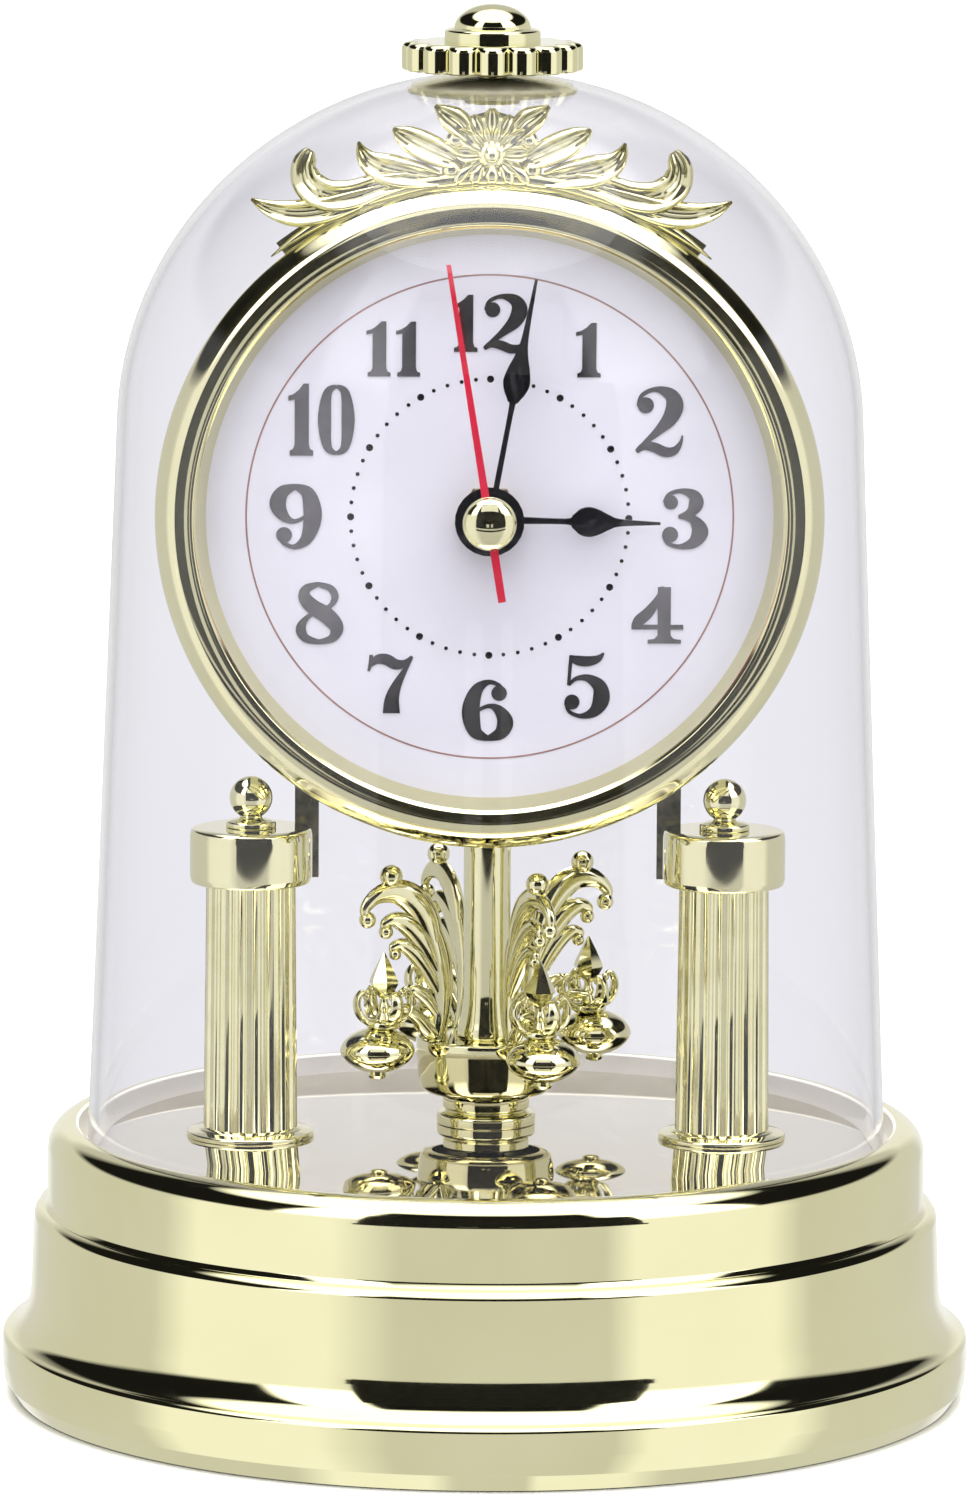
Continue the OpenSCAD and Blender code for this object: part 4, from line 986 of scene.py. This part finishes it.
# Distance along the hand, and half its width there
HOUR_BLADE = [(3, 0.6), (11.4, 0.46), (12.6, 1.0), (13.8, 2.0), (15.2, 2.3), (16.7, 1.9),
              (18.3, 1.1), (20, 0.58), (26, 0.22)]
MINUTE_BLADE = [(4, 0.45), (17, 0.42), (18.6, 0.8), (20, 1.6), (21.6, 2.05), (23.6, 1.7),
                (26, 0.95), (29, 0.5), (37.6, 0.22)]
SECOND_BLADE = [(-12.2, 0.6), (0, 0.62), (39.8, 0.36)]


def facing(y, angle):
    """A place on the dial's axis, turned clockwise by an angle."""
    return at(0, y, HEAD_Z) @ UPRIGHT @ turn(-angle)


def hands():
    hour_y, minute_y, second_y = high("hour_hand").y, high("minute_hand").y, high("second_hand").y
    hour = plate([disc(0, 0, 4.4), blade(HOUR_BLADE)], [disc(0, 0, 2.5)], 0.5)
    minute = plate([disc(0, 0, 5.3), blade(MINUTE_BLADE)], [disc(0, 0, 1.6)], 0.5)
    second = plate([blade(SECOND_BLADE)], [disc(0, 0, 0.5)], 0.4)
    piece("hour_pointer", Shape().add(hour, facing(hour_y, HOUR_TURN)), "hour",
          HAND_BLACK, ["hour_hand"], bevel=0.14)
    piece("minute_pointer", Shape().add(minute, facing(minute_y, MINUTE_TURN)), "minute",
          HAND_BLACK, ["minute_hand"], bevel=0.14)
    piece("second_pointer", Shape().add(second, facing(second_y, SECOND_TURN)), "second",
          HAND_RED, ["second_hand"], bevel=0.1)
    y = second_y - 0.4
    tall = y - low("second_hand").y
    cap = rounded([(0, 0), (4.1, 0, 0.08), (4.1, 0.3, 0.1)])
    cap += [(4.05 * c, 0.35 + (tall - 0.35) * s) for c, s in arc(0, 0, 1, 4, 88, 14)] + [(0, tall)]
    piece("hand_cap", Shape().add(lathe(cap, 72), facing(y, 0)), "second", GOLD,
          sharp=40)


# ---- dome ----

def dome():
    def skin(r_off, top):
        wall = [(DOME_R - r_off, DOME_FOOT + 0.5)]
        foot_to_cap = CAP_Z - DOME_FOOT
        for z in (60, 85, 110, 130, 142):
            wall.append((CAP_R - r_off + (DOME_R - CAP_R) * (CAP_Z - z) / foot_to_cap, z))
        for i in range(0, 26):
            a = math.radians(3.5 * i + 1)
            wall.append(((CAP_R - r_off) * math.cos(a), CAP_Z + (top - CAP_Z) * math.sin(a)))
        return [p for p in smooth(wall, 3) if p[0] > 2.3]
    outer = skin(0, DOME_TOP)
    inner = skin(WALL, DOME_TOP - WALL)
    z = DOME_FOOT
    outline = [(DOME_R - WALL + 0.35, z), (DOME_R - 0.35, z), (DOME_R - 0.1, z + 0.15)] + outer
    outline += [(2.2, DOME_TOP - 0.04), (2.2, DOME_TOP - WALL - 0.04)] + inner[::-1]
    outline += [(DOME_R - WALL + 0.1, z + 0.15)]
    piece("dome_clear", Shape().add(lathe(outline, 256)), "dome", GLASS,
          ["dome"], 50)


def finial():
    """The knurled knob on the dome, with its round cap and its stem."""
    lobes, fine = 16, 12
    far, lobe_r = FINIAL_R - 2.45, 2.45
    z = DOME_TOP
    ring_top = z + 4.65
    def edge(inset, h, sink=1.0):
        ring = []
        for k in range(lobes * fine):
            a = 2 * math.pi * k / (lobes * fine)
            off = ((k % fine) / fine - 0.5) * 2 * math.pi / lobes
            r = far * math.cos(off) + math.sqrt(max(0, lobe_r ** 2 - (far * math.sin(off)) ** 2))
            r = FINIAL_R - (FINIAL_R - r) * sink - inset
            turned = a + math.pi / lobes
            ring.append((r * math.cos(turned), r * math.sin(turned), h))
        return ring
    rings = [edge(0.9, z + 0.3), edge(0.35, z + 0.25), edge(0.05, z + 0.45), edge(0, z + 0.9),
             edge(0, ring_top - 1.0), edge(0.12, ring_top - 0.55), edge(0.45, ring_top - 0.2),
             edge(1.0, ring_top - 0.03), edge(2.2, ring_top, 0.7), edge(4.5, ring_top, 0.2),
             edge(6.6, ring_top, 0.0)]
    shape = Shape().add(loft(rings))
    cap_z = ring_top + 2.0
    collar = rounded([(0, ring_top - 0.4), (7.4, ring_top - 0.4), (7.4, ring_top + 1.75, 0.5),
                      (6.4, ring_top + 2.1, 0.3), (5.95, cap_z), (0, cap_z)])
    shape.add(lathe(collar, 96))
    rise = FINIAL_TOP - cap_z
    cap = [(5.9 * c, cap_z + rise * s) for c, s in arc(0, 0, 1, 0, 85, 17)]
    shape.add(lathe([(0, cap_z)] + cap + [(0, FINIAL_TOP)], 96))
    shape.add(lathe([(0, z - 4.5), (2.0, z - 4.5), (2.0, z + 0.4), (0, z + 0.4)], 32))
    plated("finial_plated", shape, "dome", "finial")


def washer():
    """The dished washer and the nut that hold the finial from inside the dome."""
    rim_r, hole_r, gap = 13, 2.05, 0.08
    inner_r, inner_h = CAP_R - WALL, DOME_TOP - CAP_Z - WALL

    def under(r):
        return CAP_Z - gap + inner_h * math.sqrt(1 - (r / inner_r) ** 2)

    rim_z = under(rim_r)
    steps = [hole_r + (rim_r - hole_r) * i / 16 for i in range(17)]
    bowl = smooth([(rim_r, rim_z - 0.35), (12.4, rim_z - 0.75), (10, rim_z - 1.15),
                   (6.5, rim_z - 1.45), (4.4, rim_z - 1.5)], 5)
    outline = [(r, under(r)) for r in steps] + bowl + [(hole_r, rim_z - 1.5)]
    nut = Shape().add(lathe(outline, 96))
    top = rim_z - 1.4
    hexagon = [[(x, y, h) for x, y in arc(0, 0, r, 0, 300, 5)]
               for r, h in ((4.2, top), (4.2, top - 0.6), (3.8, top - 0.8))]
    nut.add(loft(hexagon))
    piece("washer_and_nut", nut, "dome", WASHER, ["finial_nut"], 30)


# ---- stage ----

CLOCK_MIDDLE = Vector((0, 0, 0.1))
AROUND = 0.70
BEHIND = 0.92
WINDOW_LOW = 1.07
WINDOW_HIGH = 2.3
BEHIND_HIGH = 0.6
DARK = 0.01
OVERHEAD = 1.9
# Azimuth from the front in degrees (left is negative) and radiance
LOW_LIGHT = [(-180, BEHIND), (-166, BEHIND), (-158, AROUND), (-92, AROUND), (-80, WINDOW_LOW),
             (-40, WINDOW_LOW), (-22, AROUND), (31, AROUND), (39, WINDOW_LOW), (78, WINDOW_LOW),
             (90, AROUND), (158, AROUND), (166, BEHIND), (180, BEHIND)]
HIGH_LIGHT = [(-180, BEHIND_HIGH), (-158, BEHIND_HIGH), (-146, DARK), (-60, DARK),
              (-56, WINDOW_HIGH), (-35, WINDOW_HIGH), (-31, DARK), (31, DARK), (35, WINDOW_HIGH),
              (75, WINDOW_HIGH), (79, DARK), (146, DARK), (158, BEHIND_HIGH), (180, BEHIND_HIGH)]
# Where the low light turns into the high one, and that into the overhead one (sine of elevation)
TO_HIGH = (0.29, 0.36)
TO_OVERHEAD = (0.77, 0.83)
# Name, azimuth and elevation in degrees, distance, width and height in metres, radiance
SOFTBOXES = [("softbox_left", -45, 46, 1.6, 0.62, 1.5, 0.6),
             ("softbox_right", 55, 46, 1.6, 1.2, 1.5, 0.4),
             ("softbox_front", 0, 35, 1.6, 1.2, 1.0, 1.1)]
SUN_STRENGTH = 3.1
SUN_ANGLE = 60
# Black cards in front, in metres: name, place along Y, edges along X and along Z, and openings
# (row, column). The openings light the numerals left and right of the middle, and the far card
# closes them for the base
CARDS = [("card_low", -0.30, (-0.18, 0.24), (0.028, 0.05), []),
         ("card_near", -0.45, (-0.27, -0.052, -0.013, 0.0265, 0.052, 0.36),
          (0.03, 0.054, 0.128, 0.36), [(1, 1), (1, 3)]),
         ("card_far", -0.90, (-0.15, 0.15), (0.083, 0.5), [])]
FLOOR_R = 9.0
FLOOR_Z = -0.0002
EYE = (-0.0005, -1.430, 0.310)
TILT_DOWN = 8.34
ROLL = 0.35
FOCAL_LENGTH = 224.6
SENSOR = 36


def world():
    """A light tent: an even ring round the horizon, dark above it, and two tall windows."""
    made = bpy.data.worlds.new("tent")
    bpy.context.scene.world = made
    tent = Nodes(made)
    parts = tent.node("SeparateXYZ")
    tent.link(tent.node("TexCoord").outputs["Generated"], parts.inputs["Vector"])
    back = tent.node("Math", operation="MULTIPLY")
    back.inputs[1].default_value = -1
    tent.link(parts.outputs["Y"], back.inputs[0])
    azimuth = tent.node("Math", operation="ARCTAN2")
    tent.link(parts.outputs["X"], azimuth.inputs[0])
    tent.link(back.outputs["Value"], azimuth.inputs[1])
    share = tent.node("MapRange", From_Min=-math.pi, From_Max=math.pi)
    tent.link(azimuth.outputs["Value"], share.inputs["Value"])

    def greys(source, stops):
        return tent.ramp(source, [(where, (v, v, v)) for where, v in stops])

    def ring(light):
        return greys(share.outputs["Result"], [((a + 180) / 360, v) for a, v in light])

    def mix(heights, below, above):
        made = tent.node("Mix", data_type="RGBA")
        rise = greys(parts.outputs["Z"], [(heights[0], 0.0), (heights[1], 1.0)])
        tent.link(rise, made.inputs["Factor"])
        tent.link(below, made.inputs["A"])
        tent.link(above, made.inputs["B"])
        return made.outputs["Result"]

    top = greys(parts.outputs["Z"], [(0.0, OVERHEAD), (1.0, OVERHEAD)])
    whole = mix(TO_OVERHEAD, mix(TO_HIGH, ring(LOW_LIGHT), ring(HIGH_LIGHT)), top)
    tent.link(whole, tent.tree.nodes["Background"].inputs["Color"])


def softbox(name, azimuth, elevation, far, wide, tall, radiance):
    """A light aimed at the clock for its matt surfaces; azimuth is from the front, to the right."""
    a, e = math.radians(azimuth), math.radians(elevation)
    aim = Vector((math.sin(a) * math.cos(e), -math.cos(a) * math.cos(e), math.sin(e)))
    light = bpy.data.lights.new(name, "AREA")
    light.shape = "RECTANGLE"
    light.size, light.size_y = wide, tall
    light.energy = radiance * wide * tall * math.pi
    obj = placed(name, light)
    obj.location = CLOCK_MIDDLE + aim * far
    obj.rotation_euler = aim.to_track_quat("Z", "Y").to_euler()
    obj.visible_camera = False
    obj.visible_glossy = False


def black_card(name, far, edges_x, edges_z, openings):
    """A black card across the front, seen only as a mirror image in the plating and the foil."""
    wide = len(edges_x)
    verts = [(x, far, z) for z in edges_z for x in edges_x]
    faces = []
    for row in range(len(edges_z) - 1):
        for col in range(wide - 1):
            i = row * wide + col
            if (row, col) not in openings:
                faces.append([i, i + 1, i + 1 + wide, i + wide])
    cloth = Look(name, Roughness=1.0, Specular_IOR_Level=0.0)
    cloth.tones(40, (0.008, 0.008, 0.008), (0.014, 0.014, 0.014))
    depth = cloth.node("LightPath").outputs["Glossy Depth"]
    cloth.surface(depth, cloth.node("BsdfTransparent"), cloth.shader)
    card = staged(name, verts, faces, cloth)
    for ray in ("camera", "diffuse", "shadow", "volume_scatter"):
        setattr(card, "visible_" + ray, False)


def staged(name, verts, faces, look):
    """A mesh in metres that isn't part of the clock."""
    mesh = bpy.data.meshes.new(name)
    mesh.from_pydata(verts, [], faces)
    mesh.materials.append(look.material)
    obj = placed(name, mesh)
    return obj


def floor():
    """A pale round floor just under the feet, which no mirror or clear piece shows."""
    steps = 96
    turns = [2 * math.pi * k / steps for k in range(steps)]
    verts = [(FLOOR_R * math.cos(a), FLOOR_R * math.sin(a), FLOOR_Z) for a in turns]
    paper = Look("paper", Roughness=0.9, Specular_IOR_Level=0.1)
    paper.tones(3, (0.90, 0.90, 0.90), (0.92, 0.92, 0.92))
    made = staged("floor", verts, [list(range(steps))], paper)
    made.visible_glossy = False
    made.visible_transmission = False


def stage():
    floor()
    world()
    for card in CARDS:
        black_card(*card)
    for light in SOFTBOXES:
        softbox(*light)
    sun = bpy.data.lights.new("overhead", "SUN")
    sun.energy = SUN_STRENGTH
    sun.angle = math.radians(SUN_ANGLE)
    placed("overhead", sun).visible_glossy = False


def camera():
    """The eye, 1.43 m in front of the clock and tilted a little down."""
    data = bpy.data.cameras.new("camera")
    data.sensor_width = SENSOR
    data.lens = FOCAL_LENGTH
    obj = placed("camera", data)
    obj.matrix_world = at(*EYE) @ turn(90 - TILT_DOWN, "X") @ turn(ROLL, "Z")
    bpy.context.scene.camera = obj
    bpy.context.scene.view_settings.view_transform = "Standard"


def build():
    dress_frame()
    base()
    deck()
    for side, hand in ((-1, "left"), (1, "right")):
        column(side, f"fluted_{hand}", f"column_{hand}")
        capital(side, f"round_capital_{hand}", f"capital_{hand}")
    cap_nuts()
    pedestal()
    hub()
    rod()
    for number in (1, 2, 3, 4):
        arm(number)
    ornaments()
    drum()
    bezel()
    crest()
    dial()
    hands()
    dome()
    finial()
    washer()
    stage()
    camera()


build()
